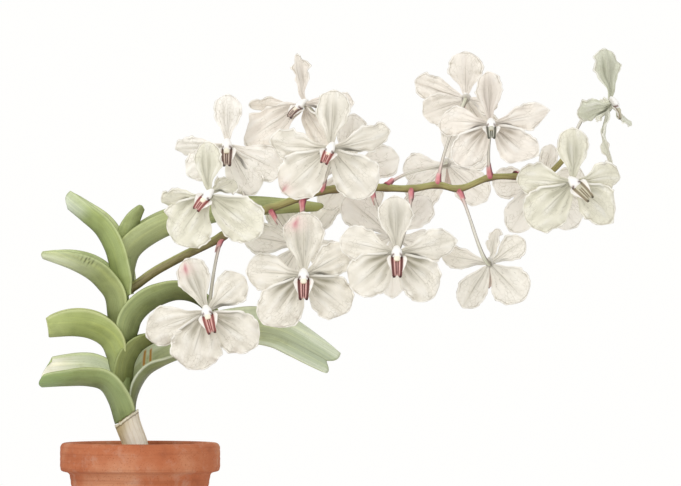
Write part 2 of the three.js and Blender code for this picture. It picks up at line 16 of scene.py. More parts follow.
import bmesh
import bpy
import mathutils
import numpy as np
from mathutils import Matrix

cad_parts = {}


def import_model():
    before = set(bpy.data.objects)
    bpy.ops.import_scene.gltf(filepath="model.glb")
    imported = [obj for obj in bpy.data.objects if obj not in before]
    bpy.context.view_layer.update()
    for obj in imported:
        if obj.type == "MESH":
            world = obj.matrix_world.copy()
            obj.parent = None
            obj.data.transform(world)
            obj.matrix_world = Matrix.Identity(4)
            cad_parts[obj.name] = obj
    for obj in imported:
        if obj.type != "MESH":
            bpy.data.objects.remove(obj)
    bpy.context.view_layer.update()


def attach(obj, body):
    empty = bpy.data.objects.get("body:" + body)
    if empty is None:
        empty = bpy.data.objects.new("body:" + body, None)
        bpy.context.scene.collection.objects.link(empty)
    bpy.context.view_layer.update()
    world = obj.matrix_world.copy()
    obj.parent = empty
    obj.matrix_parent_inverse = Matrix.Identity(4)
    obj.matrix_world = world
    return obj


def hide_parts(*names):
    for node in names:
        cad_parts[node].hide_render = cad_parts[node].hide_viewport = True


LOG = logging.getLogger("vanda")
MM = 0.001
DOUBLE = 1e-6
BODY = "root"
UP = np.array([0.0, 0.0, 1.0])
VIEWER = np.array([0.0, -1.0, 0.0])

Array = np.ndarray
Triple = tuple[float, float, float]
Material = bpy.types.Material
Socket = bpy.types.NodeSocket
Thing = bpy.types.Object


# Numbers and lines


def tone(red: float, green: float, blue: float) -> Triple:
    """A colour in linear light, by the screen's own curve: a straight foot, and above it a power of 2.4.

    Args:
        red: its screen value of red, from 0 to 255.
        green: that of green.
        blue: that of blue.

    Returns:
        The three parts, from 0 to 1.
    """
    parts = np.array([red, green, blue]) / 255
    linear = np.where(parts > 0.04045, ((parts + 0.055) / 1.055) ** 2.4, parts / 12.92)
    return tuple(float(part) for part in linear)


def smooth(x: Array, low: float, high: float) -> Array:
    """A smooth step: 0 below low, 1 above high, and 3s² - 2s³ of the share s between them."""
    share = np.clip((x - low) / (high - low), 0, 1)
    return share * share * (3 - 2 * share)


def bell(x: Array, middle: float, width: float) -> Array:
    """A bell curve: 1 at its middle and 1/e a width away."""
    return np.exp(-(((x - middle) / width) ** 2))


def through(values: Sequence[float], t: Array) -> Array:
    """The quadratic that takes the three values at the start, half way and at the end."""
    a, b, c = values
    return a * (1 - t) * (1 - 2 * t) + 4 * b * t * (1 - t) + c * t * (2 * t - 1)


def unit(vectors: Array) -> Array:
    """The vectors, each at length one."""
    return vectors / np.maximum(np.linalg.norm(vectors, axis=-1, keepdims=True), 1e-12)


def blend(a: Any, b: Any, share: Any) -> Array:
    """Colours from a to b by a share, which may vary over the grid."""
    part = np.asarray(share)[..., None]
    return np.asarray(a) * (1 - part) + np.asarray(b) * part


def layered(ground: Any, *coats: tuple[Any, Array]) -> Array:
    """Colours laid over a ground one after another.

    Args:
        ground: the colour or colours below.
        coats: each coat's colour and the share that it covers by.

    Returns:
        The colours over the grid.
    """
    for colour, share in coats:
        ground = blend(ground, colour, share)
    return ground


def vectors(*parts: Any) -> Array:
    """The numbers side by side, over the grid that they span together."""
    return np.stack(np.broadcast_arrays(*parts), -1)


def spokes(count: int) -> Array:
    """A row of so many angles, evenly round a circle."""
    return np.linspace(0, 2 * math.pi, count, endpoint=False)[None, :]


def eased(count: int) -> Array:
    """A column of shares from 0 to 1 that are close together at both ends, half a cosine wave."""
    return (0.5 - 0.5 * np.cos(np.linspace(0, math.pi, count)))[:, None]


def edgeward(count: int) -> Array:
    """Shares from -1 to 1 that are close together at both ends, half a sine wave."""
    return np.sin(np.linspace(-1, 1, count) * math.pi / 2)


def rounded(x: Array, start: float, least: float) -> Array:
    """The thickness of a rounded edge: a quarter circle from the share start to 1, whose square never passes least."""
    return np.sqrt(np.clip(1 - np.clip((x - start) / (1 - start), 0, 1) ** 2, least, 1))


def ripple(x: Array, y: Array, seed: float) -> Array:
    """A gentle unevenness: the mean of four sines that run in different ways across the grid.

    Args:
        x: the places one way.
        y: the places the other way.
        seed: what sets it off from the next one.

    Returns:
        Heights from -1 to 1.
    """
    return 0.25 * (
        np.sin(2.1 * x + 1.3 * y + seed) + np.sin(-1.7 * x + 2.9 * y + 2.3 * seed)
        + np.sin(4.3 * x - 1.1 * y + 3.1 * seed) + np.sin(0.9 * x + 4.7 * y + 4.7 * seed)
    )


class Path:
    """A smooth line that is walked evenly by its length."""

    def __init__(self, dense: Array) -> None:
        """Keeps the line.

        Args:
            dense: points close together along the line, one to a row.
        """
        self.dense = dense
        steps = np.linalg.norm(np.diff(dense, axis=0), axis=1)
        self.walked = np.concatenate([[0.0], np.cumsum(steps)])

    @classmethod
    def spline(cls, points: Sequence[Sequence[float]]) -> Path:
        """A centripetal Catmull-Rom spline: each span is a cubic whose slopes follow the square roots of the spans.

        Args:
            points: what the line runs through.

        Returns:
            The line.
        """
        p = np.asarray(points, float)
        p = np.vstack([2 * p[0] - p[1], p, 2 * p[-1] - p[-2]])
        gap = np.sqrt(np.linalg.norm(np.diff(p, axis=0), axis=1))[:, None]
        p0, p1, p2, p3 = p[:-3], p[1:-2], p[2:-1], p[3:]
        d0, d1, d2 = gap[:-2], gap[1:-1], gap[2:]
        m1 = ((p1 - p0) / d0 - (p2 - p0) / (d0 + d1) + (p2 - p1) / d1) * d1
        m2 = ((p2 - p1) / d1 - (p3 - p1) / (d1 + d2) + (p3 - p2) / d2) * d1
        w = np.linspace(0, 1, 24, endpoint=False)[None, :, None]
        a, b, m, n = p1[:, None], p2[:, None], m1[:, None], m2[:, None]
        spans = a + m * w + (3 * (b - a) - 2 * m - n) * w**2 + (2 * (a - b) + m + n) * w**3
        return cls(np.vstack([spans.reshape(-1, 3), p[-2]]))

    @classmethod
    def bezier(cls, a: Array, b: Array, c: Array, d: Array) -> Path:
        """The cubic Bezier line of four points: their sum, each with its Bernstein weight."""
        t = np.linspace(0, 1, 97)[:, None]
        return cls(a * (1 - t) ** 3 + 3 * b * t * (1 - t) ** 2 + 3 * c * t**2 * (1 - t) + d * t**3)

    @property
    def length(self) -> float:
        """The whole length of the line."""
        return float(self.walked[-1])

    def at(self, shares: Array) -> Array:
        """The points that lie these shares of the length along."""
        far = np.clip(shares, 0, 1) * self.length
        return np.stack([np.interp(far, self.walked, self.dense[:, i]) for i in range(3)], axis=-1)

    def heading(self, shares: Array) -> Array:
        """The way the line runs at these shares, as unit vectors from a central difference."""
        return unit(self.at(np.clip(shares + 0.01, 0, 1)) - self.at(np.clip(shares - 0.01, 0, 1)))

    def frames(self, shares: Array) -> tuple[Array, Array]:
        """Two unit vectors across the line at each share, turned as little as possible from one to the next.

        Args:
            shares: where along the line, in order.

        Returns:
            The vectors to one side and the vectors at right angles to both it and the line.
        """
        ways = self.heading(shares)
        side = unit(np.cross(ways[0], VIEWER if abs(ways[0] @ VIEWER) < 0.9 else UP))
        sides = [side]
        for way in ways[1:]:
            side = unit(side - way * (side @ way))
            sides.append(side)
        across = np.array(sides)
        return across, np.cross(ways, across)

    def rings(self, shares: Array, radius: Array, turns: Array) -> Array:
        """A tube: at each share a ring of points at the given radius and angles.

        Args:
            shares: where the rings are.
            radius: each point's distance from the line, a row to a ring.
            turns: the points' angles round the line.

        Returns:
            The points, by ring and angle.
        """
        side, other = self.frames(shares)
        out = side[:, None] * np.cos(turns)[..., None] + other[:, None] * np.sin(turns)[..., None]
        return self.at(shares)[:, None] + out * np.broadcast_to(radius, out.shape[:2])[..., None]


# Meshes


@dataclass
class Skin:
    """Points, faces and what the material reads at each point: a tint, a grain and a flow.

    The tint is a colour. The grain is the share along and across, and how strongly the piece is veined. The flow
    is the distance across and along in millimetres, and a number that sets one part's pattern off from the next.
    """

    points: list[Array] = field(default_factory=list)
    faces: list[Array] = field(default_factory=list)
    tints: list[Array] = field(default_factory=list)
    grains: list[Array] = field(default_factory=list)
    flows: list[Array] = field(default_factory=list)
    count: int = 0

    def _take(self, points: Array, tint: Any, grain: Any, flow: Any) -> int:
        """Keeps a block of points with its values.

        Args:
            points: the points, by row and column.
            tint: their colours.
            grain: their shares and strengths.
            flow: their distances and offset.

        Returns:
            The number of the block's first point.
        """
        first = self.count
        for kept, block in ((self.points, points), (self.tints, tint), (self.grains, grain), (self.flows, flow)):
            kept.append(np.broadcast_to(block, points.shape).reshape(-1, 3))
        self.count += points.shape[0] * points.shape[1]
        return first

    @staticmethod
    def _quads(rows: int, cols: int, ringed: bool) -> Array:
        """The squares of a grid.

        Args:
            rows: how many rows of points it has.
            cols: how many columns.
            ringed: whether the last column meets the first.

        Returns:
            The numbers of each square's four corners.
        """
        i, j = np.meshgrid(np.arange(rows - 1), np.arange(cols if ringed else cols - 1), indexing="ij")
        k = (j + 1) % cols
        return np.stack([i * cols + j, (i + 1) * cols + j, (i + 1) * cols + k, i * cols + k], -1).reshape(-1, 4)

    def shell(self, middle: Array, above: Array, below: Array, towards: Array, tint: Array, back_tint: Array,
              grain: Any = 0.0, flow: Any = 0.0) -> None:
        """Adds a thin closed body: the grid moved out along its normals to both sides, and a rim round its edge.

        The normal is the cross product of the grid's two slopes.

        Args:
            middle: the grid between the two faces.
            above: how far the front face stands off it.
            below: how far the back face stands off it.
            towards: the way the front face looks, on the whole.
            tint: the front's colours.
            back_tint: the back's colours.
            grain: the shares along and across, and the strength of the veins.
            flow: the distances across and along, and the part's offset.
        """
        rows, cols = middle.shape[:2]
        normal = unit(np.cross(np.gradient(middle, axis=0), np.gradient(middle, axis=1)))
        turned = float(np.sum(normal * towards)) < 0
        normal = -normal if turned else normal
        size = rows * cols
        front = self._take(middle + normal * above[..., None], tint, grain, flow)
        self._take(middle - normal * below[..., None], back_tint, grain, flow)
        top = self._quads(rows, cols, False)
        edge = np.concatenate([
            np.arange(cols), (np.arange(1, rows) + 1) * cols - 1,
            (rows - 1) * cols + np.arange(cols - 2, -1, -1), np.arange(rows - 2, 0, -1) * cols,
        ])
        after = np.roll(edge, -1)
        rim = np.stack([edge, after, after + size, edge + size], -1)
        faces = np.concatenate([top, top[:, ::-1] + size, rim])
        self.faces.append((faces[:, ::-1] if turned else faces) + front)

    def tube(self, rings: Array, tint: Any, flow: Any = 0.0, closed: bool = True) -> None:
        """Adds a skin over rings, with a point in the middle of each end ring where it is closed.

        Args:
            rings: the points, by ring and angle.
            tint: their colours.
            flow: the distances and the offset.
            closed: whether the ends are closed.
        """
        values = [np.broadcast_to(block, rings.shape) for block in (tint, 0.0, flow)]
        if closed:
            first_end, last_end = (np.broadcast_to(rings[i].mean(axis=0), rings[:1].shape) for i in (0, -1))
            rings = np.concatenate([first_end, rings, last_end])
            values = [np.concatenate([block[:1], block, block[-1:]]) for block in values]
        first = self._take(rings, *values)
        self.faces.append(self._quads(rings.shape[0], rings.shape[1], True)[:, ::-1] + first)

    def sock(self, outer: Array, inner: Array, tint: Array, inner_tint: Array, flow: Array) -> None:
        """Adds an open tube with a thickness, up its outside and down its inside, from rings up to its open end."""
        up_down = [np.concatenate([up, down[::-1]]) for up, down in ((outer, inner), (tint, inner_tint), (flow, flow))]
        self.tube(*up_down, closed=False)

    def piece(self, name: str, material: Material) -> Thing:
        """Puts everything into one smooth mesh in metres, merges points that coincide and turns its faces outwards.

        Args:
            name: the piece's name.
            material: its finish.

        Returns:
            The object, at the origin, with its place in its mesh.
        """
        points = np.concatenate(self.points) * MM
        faces = np.concatenate(self.faces)
        mesh = bpy.data.meshes.new(name)
        mesh.from_pydata(points, [], faces)
        tints = np.concatenate(self.tints)
        tints = np.hstack([tints, np.ones((len(tints), 1))])
        for label, block, kind, key in (("tint", tints, "FLOAT_COLOR", "color"),
                                        ("grain", np.concatenate(self.grains), "FLOAT_VECTOR", "vector"),
                                        ("flow", np.concatenate(self.flows), "FLOAT_VECTOR", "vector")):
            mesh.attributes.new(label, kind, "POINT").data.foreach_set(key, block.astype(np.float32).ravel())
        mesh.materials.append(material)
        work = bmesh.new()
        work.from_mesh(mesh)
        bmesh.ops.remove_doubles(work, verts=work.verts, dist=DOUBLE)
        bmesh.ops.dissolve_degenerate(work, edges=work.edges, dist=DOUBLE / 10)
        bmesh.ops.recalc_face_normals(work, faces=work.faces)
        work.to_mesh(mesh)
        work.free()
        mesh.shade_smooth()
        return placed(bpy.data.objects.new(name, mesh))


def placed(thing: Thing) -> Thing:
    """The object, put into the scene."""
    bpy.context.scene.collection.objects.link(thing)
    return thing


def settle(piece: Thing, slot: str, *nodes: str) -> Thing:
    """Rides a piece on the body, hides the nodes that it stands for, and logs it with their names.

    Args:
        piece: the object.
        slot: the record's material slot; not used.
        nodes: the CAD nodes that it replaces.

    Returns:
        The object.
    """
    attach(piece, BODY)
    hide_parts(*nodes)
    LOG.info("%s: %d faces, for %s", piece.name, len(piece.data.polygons), ", ".join(nodes))
    return piece


# Shader maths

Operand = Union["Value", float]


class Value:
    """A number that varies over a surface. Each operator adds the Math node that works it out."""

    def __init__(self, board: Board, socket: Socket) -> None:
        """Keeps the board and the socket that gives the number."""
        self.board, self.socket = board, socket

    def _math(self, operation: str, *values: Operand) -> Value:
        """The Math node of that operation on these values."""
        node = self.board.node("ShaderNodeMath", {"operation": operation}, dict(enumerate(values)))
        return Value(self.board, node.outputs[0])

    def __add__(self, other: Operand) -> Value:
        """The sum."""
        return self._math("ADD", self, other)

    def __sub__(self, other: Operand) -> Value:
        """The difference."""
        return self._math("SUBTRACT", self, other)

    def __rsub__(self, other: Operand) -> Value:
        """The difference from another."""
        return self._math("SUBTRACT", other, self)

    def __mul__(self, other: Operand) -> Value:
        """The product."""
        return self._math("MULTIPLY", self, other)

    def __abs__(self) -> Value:
        """The size without its sign."""
        return self._math("ABSOLUTE", self)

    __radd__ = __add__
    __rmul__ = __mul__

    def sine(self) -> Value:
        """The sine."""
        return self._math("SINE", self)

    def larger(self, other: Operand) -> Value:
        """The larger of the two."""
        return self._math("MAXIMUM", self, other)

    def smaller(self, other: Operand) -> Value:
        """The smaller of the two."""
        return self._math("MINIMUM", self, other)

    def step(self, low: float, high: float, start: float = 0.0, end: float = 1.0) -> Value:
        """A smooth step from start at low to end at high.

        Args:
            low: where the step begins.
            high: where it ends.
            start: the result below it.
            end: the result above it.

        Returns:
            The stepped number.
        """
        node = self.board.node(
            "ShaderNodeMapRange", {"interpolation_type": "SMOOTHSTEP"},
            {"Value": self, "From Min": low, "From Max": high, "To Min": start, "To Max": end})
        return Value(self.board, node.outputs["Result"])

    def fall(self, low: float, high: float, start: float = 1.0) -> Value:
        """A smooth step from start at low down to nothing at high."""
        return self.step(low, high, start, 0.0)


class Paint:
    """A colour that varies over a surface."""

    def __init__(self, board: Board, socket: Socket) -> None:
        """Keeps the board and the socket that gives the colour."""
        self.board, self.socket = board, socket

    def _mix(self, blend_type: str, other: Triple, share: Operand) -> Paint:
        """The Mix node of that kind with another colour by a share."""
        settings = {"data_type": "RGBA", "blend_type": blend_type}
        return Paint(self.board, self.board.node("ShaderNodeMix", settings, {0: share, 6: self, 7: other}).outputs[2])

    def over(self, other: Triple, share: Operand) -> Paint:
        """The other colour laid over this one by a share."""
        return self._mix("MIX", other, share)

    def times(self, other: Triple, share: Operand) -> Paint:
        """This colour multiplied by the other, by a share."""
        return self._mix("MULTIPLY", other, share)


class Board:
    """A material's nodes: one Principled shader and whatever feeds it."""

    def __init__(self, name: str, **constants: Any) -> None:
        """Starts a material.

        Args:
            name: the material's name.
            constants: values set on the shader's own sockets, by name with underscores.
        """
        self.material = bpy.data.materials.new(name)
        self.material.use_nodes = True
        self.tree = self.material.node_tree
        self.tree.nodes.clear()
        self.shader = self.tree.nodes.new("ShaderNodeBsdfPrincipled")
        self.output = self.tree.nodes.new("ShaderNodeOutputMaterial")
        self.tree.links.new(self.shader.outputs[0], self.output.inputs[0])
        for key, value in constants.items():
            self.shader.inputs[key.replace("_", " ")].default_value = value

    def node(self, kind: str, settings: dict[str, Any], values: dict[Any, Any]) -> bpy.types.Node:
        """Adds any node.

        Args:
            kind: the node's type.
            settings: its settings, which are set first.
            values: what its sockets take, by name or number: a link, a number or a colour.

        Returns:
            The node.
        """
        node = self.tree.nodes.new(kind)
        for key, value in settings.items():
            setattr(node, key, value)
        for key, value in values.items():
            self.feed(node.inputs[key], value)
        return node

    def feed(self, socket: Socket, value: Any) -> None:
        """Feeds a socket.

        Args:
            socket: what is fed.
            value: what it is linked to, or the number, vector or colour that it is set to.
        """
        if isinstance(value, (Value, Paint)):
            self.tree.links.new(value.socket, socket)
        elif isinstance(value, Socket):
            self.tree.links.new(value, socket)
        elif socket.type == "RGBA":
            socket.default_value = (*value, 1)
        else:
            socket.default_value = value

    def attribute(self, name: str) -> bpy.types.Node:
        """The node that reads a piece's attribute."""
        return self.node("ShaderNodeAttribute", {"attribute_name": name}, {})

    def parts(self, name: str) -> tuple[Value, Value, Value]:
        """The three numbers of a vector attribute."""
        node = self.node("ShaderNodeSeparateXYZ", {}, {0: self.attribute(name).outputs["Vector"]})
        return tuple(Value(self, socket) for socket in node.outputs)

    def flow(self) -> Socket:
        """Where a point is along and across its own part, in millimetres."""
        return self.attribute("flow").outputs["Vector"]

    def tint(self) -> Paint:
        """The piece's own tint."""
        return Paint(self, self.attribute("tint").outputs["Color"])

    def place(self) -> Socket:
        """Where a point is on the object, in metres."""
        return self.node("ShaderNodeTexCoord", {}, {}).outputs["Object"]

    def stretched(self, vector: Any, scale: Triple, off: Any = (0, 0, 0)) -> Socket:
        """A place scaled by its own factor each way, then moved."""
        sockets = {0: vector, 1: scale, 2: off}
        return self.node("ShaderNodeVectorMath", {"operation": "MULTIPLY_ADD"}, sockets).outputs[0]

    def noise(self, vector: Socket, scale: float, detail: float, rough: float = 0.55) -> bpy.types.Node:
        """The noise texture at a place."""
        return self.node(
            "ShaderNodeTexNoise", {}, {"Vector": vector, "Scale": scale, "Detail": detail, "Roughness": rough})

    def grit(self, vector: Socket, scale: float, detail: float = 3.0, rough: float = 0.55) -> Value:
        """The noise texture's number, which is about 0.5 on the whole."""
        return Value(self, self.noise(vector, scale, detail, rough).outputs[0])

    def drawn(self, vector: Socket, scale: Triple, detail: float) -> Value:
        """Noise drawn out into streaks by its own scale each way."""
        return self.grit(self.stretched(vector, scale), 1.0, detail)

    def warped(self, vector: Socket, scale: float, amount: float) -> Socket:
        """A place pushed about by noise."""
        return self.stretched(self.noise(vector, scale, 2.0).outputs["Color"], (amount,) * 3, vector)

    def edges(self, vector: Socket, scale: float) -> Value:
        """The distance from the walls between the cells of a flat Voronoi pattern."""
        flat = {"feature": "DISTANCE_TO_EDGE", "voronoi_dimensions": "2D"}
        return Value(self, self.node("ShaderNodeTexVoronoi", flat, {"Vector": vector, "Scale": scale}).outputs[0])

    def finish(self, colour: Paint, height: Value, distance: float, rough: Operand) -> Material:
        """Feeds the shader.

        Args:
            colour: the base colour.
            height: the relief, from 0 to 1.
            distance: how high a relief of 1 stands, in metres.
            rough: the roughness.

        Returns:
            The material.
        """
        self.feed(self.shader.inputs["Base Color"], colour)
        self.feed(self.shader.inputs["Roughness"], rough)
        bump = self.node("ShaderNodeBump", {}, {"Strength": 1.0, "Distance": distance, "Height": height})
        self.feed(self.shader.inputs["Normal"], bump.outputs[0])
        return self.material


# Finishes


@dataclass(frozen=True)
class PetalFinish:
    """A matt petal: its own tint, rays from the claw, a faint net of veins, short strokes, and a white rim along the
    edge, which is a painted highlight, with a grey line inside it. The grain's third number is half the petal's width
    in millimetres, and 0 off the petals."""

    vein: Triple = tone(200, 195, 178)
    ray: Triple = tone(156, 150, 132)
    stroke: Triple = tone(168, 159, 142)
    rim: Triple = tone(254, 252, 246)
    cells: float = 0.3
    long: float = 42.0

    def make(self) -> Material:
        """Builds the material.

        Returns:
            The material.
        """
        board = Board("petal", Specular_IOR_Level=0.25, Sheen_Weight=0.1, Sheen_Roughness=0.6)
        along, across, half = board.parts("grain")
        strength, side = half.step(0.2, 1.2), abs(across)
        inset = ((1 - side) * half).smaller((1 - along) * self.long)
        flow = board.flow()
        net = board.edges(board.stretched(board.warped(flow, 0.16, 3.4), (1.25, 0.8, 1.0)), self.cells)
        net = net.fall(0.0, 0.1) * along.step(0.3, 0.6)
        cloud = board.grit(flow, 0.09, 2.0)
        stray = board.drawn(flow, (0.4, 0.07, 1.0), 2.0)
        rays = abs((across * 8.0 + stray * 3.0).sine()).fall(0.0, 0.22) * stray.step(0.4, 0.55)
        rays = rays * along.fall(0.1, 0.8) * side.fall(0.75, 1.0)
        strokes = board.drawn(flow, (1.1, 0.16, 1.0), 1.0).step(0.62, 0.7) * cloud.step(0.5, 0.6)
        rib = side.fall(0.0, 0.05) * along.fall(0.4, 0.9)
        out = along.step(0.36, 0.6) * strength
        pale = inset.fall(0.8, 1.25) * out
        line = inset.step(1.1, 1.5) * inset.fall(1.8, 2.7) * cloud.step(0.36, 0.56) * out
        hem = inset.fall(0.12, 0.4) * cloud.step(0.3, 0.55) * out
        colour = board.tint().over(self.vein, net * cloud.step(0.42, 0.6) * 0.45 * strength)
        colour = colour.over(self.ray, (rays * 0.7).larger(rib * 0.45) * strength)
        colour = colour.over(self.stroke, (strokes * 0.4 * strength).larger(line * 0.45))
        # painted highlight: the white rim along the petal's edge
        colour = colour.over(self.rim, pale * 0.7)
        colour = colour.over(self.stroke, hem * 0.55)
        relief = (net * -0.3 + rays * -0.5 + rib * -0.6) * strength + board.grit(flow, 0.5) * 0.5
        return board.finish(colour, relief, 0.0004, cloud.step(0.3, 0.7, 0.5, 0.62))


@dataclass(frozen=True)
class LipFinish:
    """A waxy lip, whose colours are its own tint, with faint streaks along it."""

    dark: Triple = (0.6, 0.55, 0.55)

    def make(self) -> Material:
        """Builds the material.

        Returns:
            The material.
        """
        board = Board("lip", Specular_IOR_Level=0.45, Coat_Roughness=0.35)
        flow = board.flow()
        streak = board.drawn(flow, (3.0, 0.35, 1.0), 2.0)
        colour = board.tint().times(self.dark, streak.step(0.45, 0.75, 0.0, 0.55))
        return board.finish(colour, streak, 0.00025, 0.42)


@dataclass(frozen=True)
class LeafFinish:
    """A leathery leaf: its own tint, fine streaks along it, soft clouds, freckles, painted shade in a line along the
    fold and a thin dark edge. Where the grain's third number is 1 it has slits, each given by its middle along and
    across."""

    dark: Triple = (0.7, 0.7, 0.56)
    light: Triple = (1.2, 1.17, 1.1)
    edge: Triple = (0.52, 0.52, 0.4)
    slit: Triple = tone(204, 152, 82)
    around: Triple = tone(222, 220, 190)
    slits: tuple[tuple[float, float], ...] = ((0.206, 0.52), (0.23, 0.45))
    slant: float = 0.084

    def make(self) -> Material:
        """Builds the material.

        Returns:
            The material.
        """
        board = Board("leaf", Specular_IOR_Level=0.35)
        along, across, torn = board.parts("grain")
        flow = board.flow()
        fine = board.drawn(flow, (1.5, 0.035, 1.0), 3.0)
        broad = board.drawn(flow, (0.28, 0.02, 1.0), 2.0)
        cloud = board.grit(flow, 0.06, 3.0)
        freckle = board.grit(flow, 1.1, 2.0)
        side = abs(across)
        colour = board.tint().times(self.dark, fine.step(0.42, 0.72, 0.0, 0.4))
        colour = colour.times(self.light, broad.step(0.45, 0.7, 0.0, 0.8))
        colour = colour.times(self.dark, cloud.step(0.5, 0.72, 0.0, 0.5))
        colour = colour.times(self.dark, freckle.step(0.56, 0.7, 0.0, 0.35))
        # painted shade: a darker line along the fold
        colour = colour.times(self.edge, side.fall(0.0, 0.03, 0.5))
        for shade, wide, ends in ((self.around, (0.008, 0.014, 0.6), 0.36), (self.slit, (0.0035, 0.0075), 0.28)):
            for middle, height in self.slits:
                off = abs(along - (across - height) * self.slant - middle)
                colour = colour.over(shade, off.fall(*wide) * abs(across - height).fall(0.2, ends) * torn)
        colour = colour.times(self.edge, side.step(0.975, 0.998, 0.0, 0.7).larger(along.step(0.99, 1.0, 0.0, 0.6)))
        relief = fine * 0.6 + broad * 0.5 + freckle * 0.12
        return board.finish(colour, relief, 0.0005, cloud.step(0.35, 0.7, 0.42, 0.56))


@dataclass(frozen=True)
class StalkFinish:
    """A stem or a sleeve: its own tint with short dark streaks, and fine pale dots."""

    name: str = "flower_stem"
    dark: Triple = (0.55, 0.52, 0.4)
    light: Triple = (1.25, 1.22, 1.1)

    def make(self) -> Material:
        """Builds the material.

        Returns:
            The material.
        """
        board = Board(self.name, Specular_IOR_Level=0.4)
        flow = board.flow()
        streak = board.drawn(flow, (0.9, 0.09, 1.0), 3.0)
        dots = board.grit(flow, 1.4, 2.0)
        colour = board.tint().times(self.dark, streak.step(0.45, 0.7, 0.0, 0.7))
        colour = colour.times(self.light, dots.step(0.55, 0.7, 0.0, 0.5))
        return board.finish(colour, streak * 0.7 + dots * 0.3, 0.0004, 0.5)


@dataclass(frozen=True)
class DryFinish:
    """The dry, papery foot of the stem: its own tint, with fibres along it and stains."""

    dark: Triple = (0.8, 0.72, 0.58)
    stain: Triple = tone(188, 164, 118)

    def make(self) -> Material:
        """Builds the material.

        Returns:
            The material.
        """
        board = Board("dry_stem", Specular_IOR_Level=0.25)
        flow = board.flow()
        fibre = board.drawn(flow, (1.7, 0.05, 1.0), 4.0)
        stain = board.drawn(flow, (0.12, 0.06, 1.0), 3.0)
        colour = board.tint().times(self.dark, fibre.step(0.45, 0.7, 0.0, 0.3))
        colour = colour.over(self.stain, stain.step(0.55, 0.75, 0.0, 0.2))
        return board.finish(colour, fibre + stain * 0.4, 0.0007, 0.72)


@dataclass(frozen=True)
class ClayFinish:
    """Unglazed clay: fine grain, lighter and darker firing, faint turning lines, lime bloom and a foot that is darker
    towards the bottom.
    """

    base: Triple = tone(188, 112, 76)
    pale: Triple = tone(214, 158, 124)
    dark: Triple = tone(146, 78, 50)
    lime: Triple = tone(226, 214, 198)
    darker_foot: Triple = (0.6, 0.55, 0.5)

    def make(self) -> Material:
        """Builds the material.

        Returns:
            The material.
        """
        board = Board("clay", Specular_IOR_Level=0.2)
        place = board.place()
        height = Value(board, board.node("ShaderNodeSeparateXYZ", {}, {0: place}).outputs[2])
        cloud = board.grit(place, 22.0, 4.0)
        speck = board.grit(place, 900.0, 2.0)
        lines = board.drawn(place, (6.0, 6.0, 420.0), 3.0)
        crust = board.grit(place, 55.0, 6.0, 0.7)
        ground = board.node("ShaderNodeRGB", {}, {})
        ground.outputs[0].default_value = (*self.base, 1)
        colour = Paint(board, ground.outputs[0]).over(self.pale, cloud.step(0.45, 0.7, 0.0, 0.7))
        colour = colour.over(self.dark, cloud.fall(0.32, 0.48, 0.6))
        colour = colour.over(self.dark, lines.step(0.5, 0.72, 0.0, 0.3))
        colour = colour.over(self.dark, speck.step(0.6, 0.68, 0.0, 0.5))
        bloom = crust.step(0.5, 0.68) * height.step(0.012, 0.1, 0.85, 0.25)
        colour = colour.over(self.lime, bloom * 0.6)
        # darker towards the bottom of the pot
        colour = colour.times(self.darker_foot, height.fall(0.0, 0.03, 0.5))
        relief = speck * 0.35 + lines * 0.5 + crust * 0.35
        return board.finish(colour, relief, 0.0006, cloud.step(0.3, 0.7, 0.78, 0.92))


@dataclass(frozen=True)
class BarkFinish:
    """Bark: its own tint, with layers of cork across each chip and a rough, torn surface."""

    dark: Triple = (0.4, 0.34, 0.3)
    fresh: Triple = tone(176, 132, 92)

    def make(self) -> Material:
        """Builds the material.

        Returns:
            The material.
        """
        board = Board("bark", Specular_IOR_Level=0.2)
        flow = board.flow()
        layers = board.drawn(flow, (0.18, 0.3, 1.6), 4.0)
        torn = board.grit(flow, 0.5, 5.0, 0.65)
        colour = board.tint().times(self.dark, layers.step(0.45, 0.62, 0.0, 0.85))
        colour = colour.over(self.fresh, torn.step(0.58, 0.74, 0.0, 0.5))
        return board.finish(colour, layers * 0.8 + torn, 0.0012, 0.86)


# The flowers


class Cast(Enum):
    """A named set of colours, each given by its screen values of 0 to 255."""

    @property
    def colours(self) -> list[Array]:
        """The colours in linear light."""
        return [np.array(tone(*colour)) for colour in self.value]


class BloomTone(Cast):
    """The casts of petal: the ground colour, its shade and the deep shade of the claw."""

    CREAM = ((243, 238, 227), (206, 201, 186), (146, 141, 123))
    BLUSH = ((246, 239, 229), (216, 206, 195), (158, 148, 134))
    SAGE = ((239, 236, 219), (202, 200, 180), (142, 140, 116))
    MOSS = ((229, 231, 212), (182, 184, 160), (108, 110, 80))
    # PALE is for blooms that lie in the shade of those in front: partly their own paler colour, partly painted light
    # that lifts that shade
    PALE = ((254, 250, 243), (230, 224, 214), (186, 179, 166))


class LipTone(Cast):
    """The casts of lip: its pale ridges, the grooves between them, its dark tips, and the column's cap."""

    ROSE = ((238, 188, 181), (102, 48, 44), (42, 24, 18), (251, 245, 226))
    CORAL = ((240, 190, 182), (146, 78, 72), (50, 32, 26), (251, 245, 226))
    TAUPE = ((220, 200, 186), (100, 74, 64), (44, 32, 28), (244, 238, 220))
    SLATE = ((206, 204, 190), (98, 98, 84), (56, 58, 48), (206, 204, 188))
    OLIVE = ((222, 216, 192), (146, 134, 108), (74, 66, 50), (204, 200, 178))


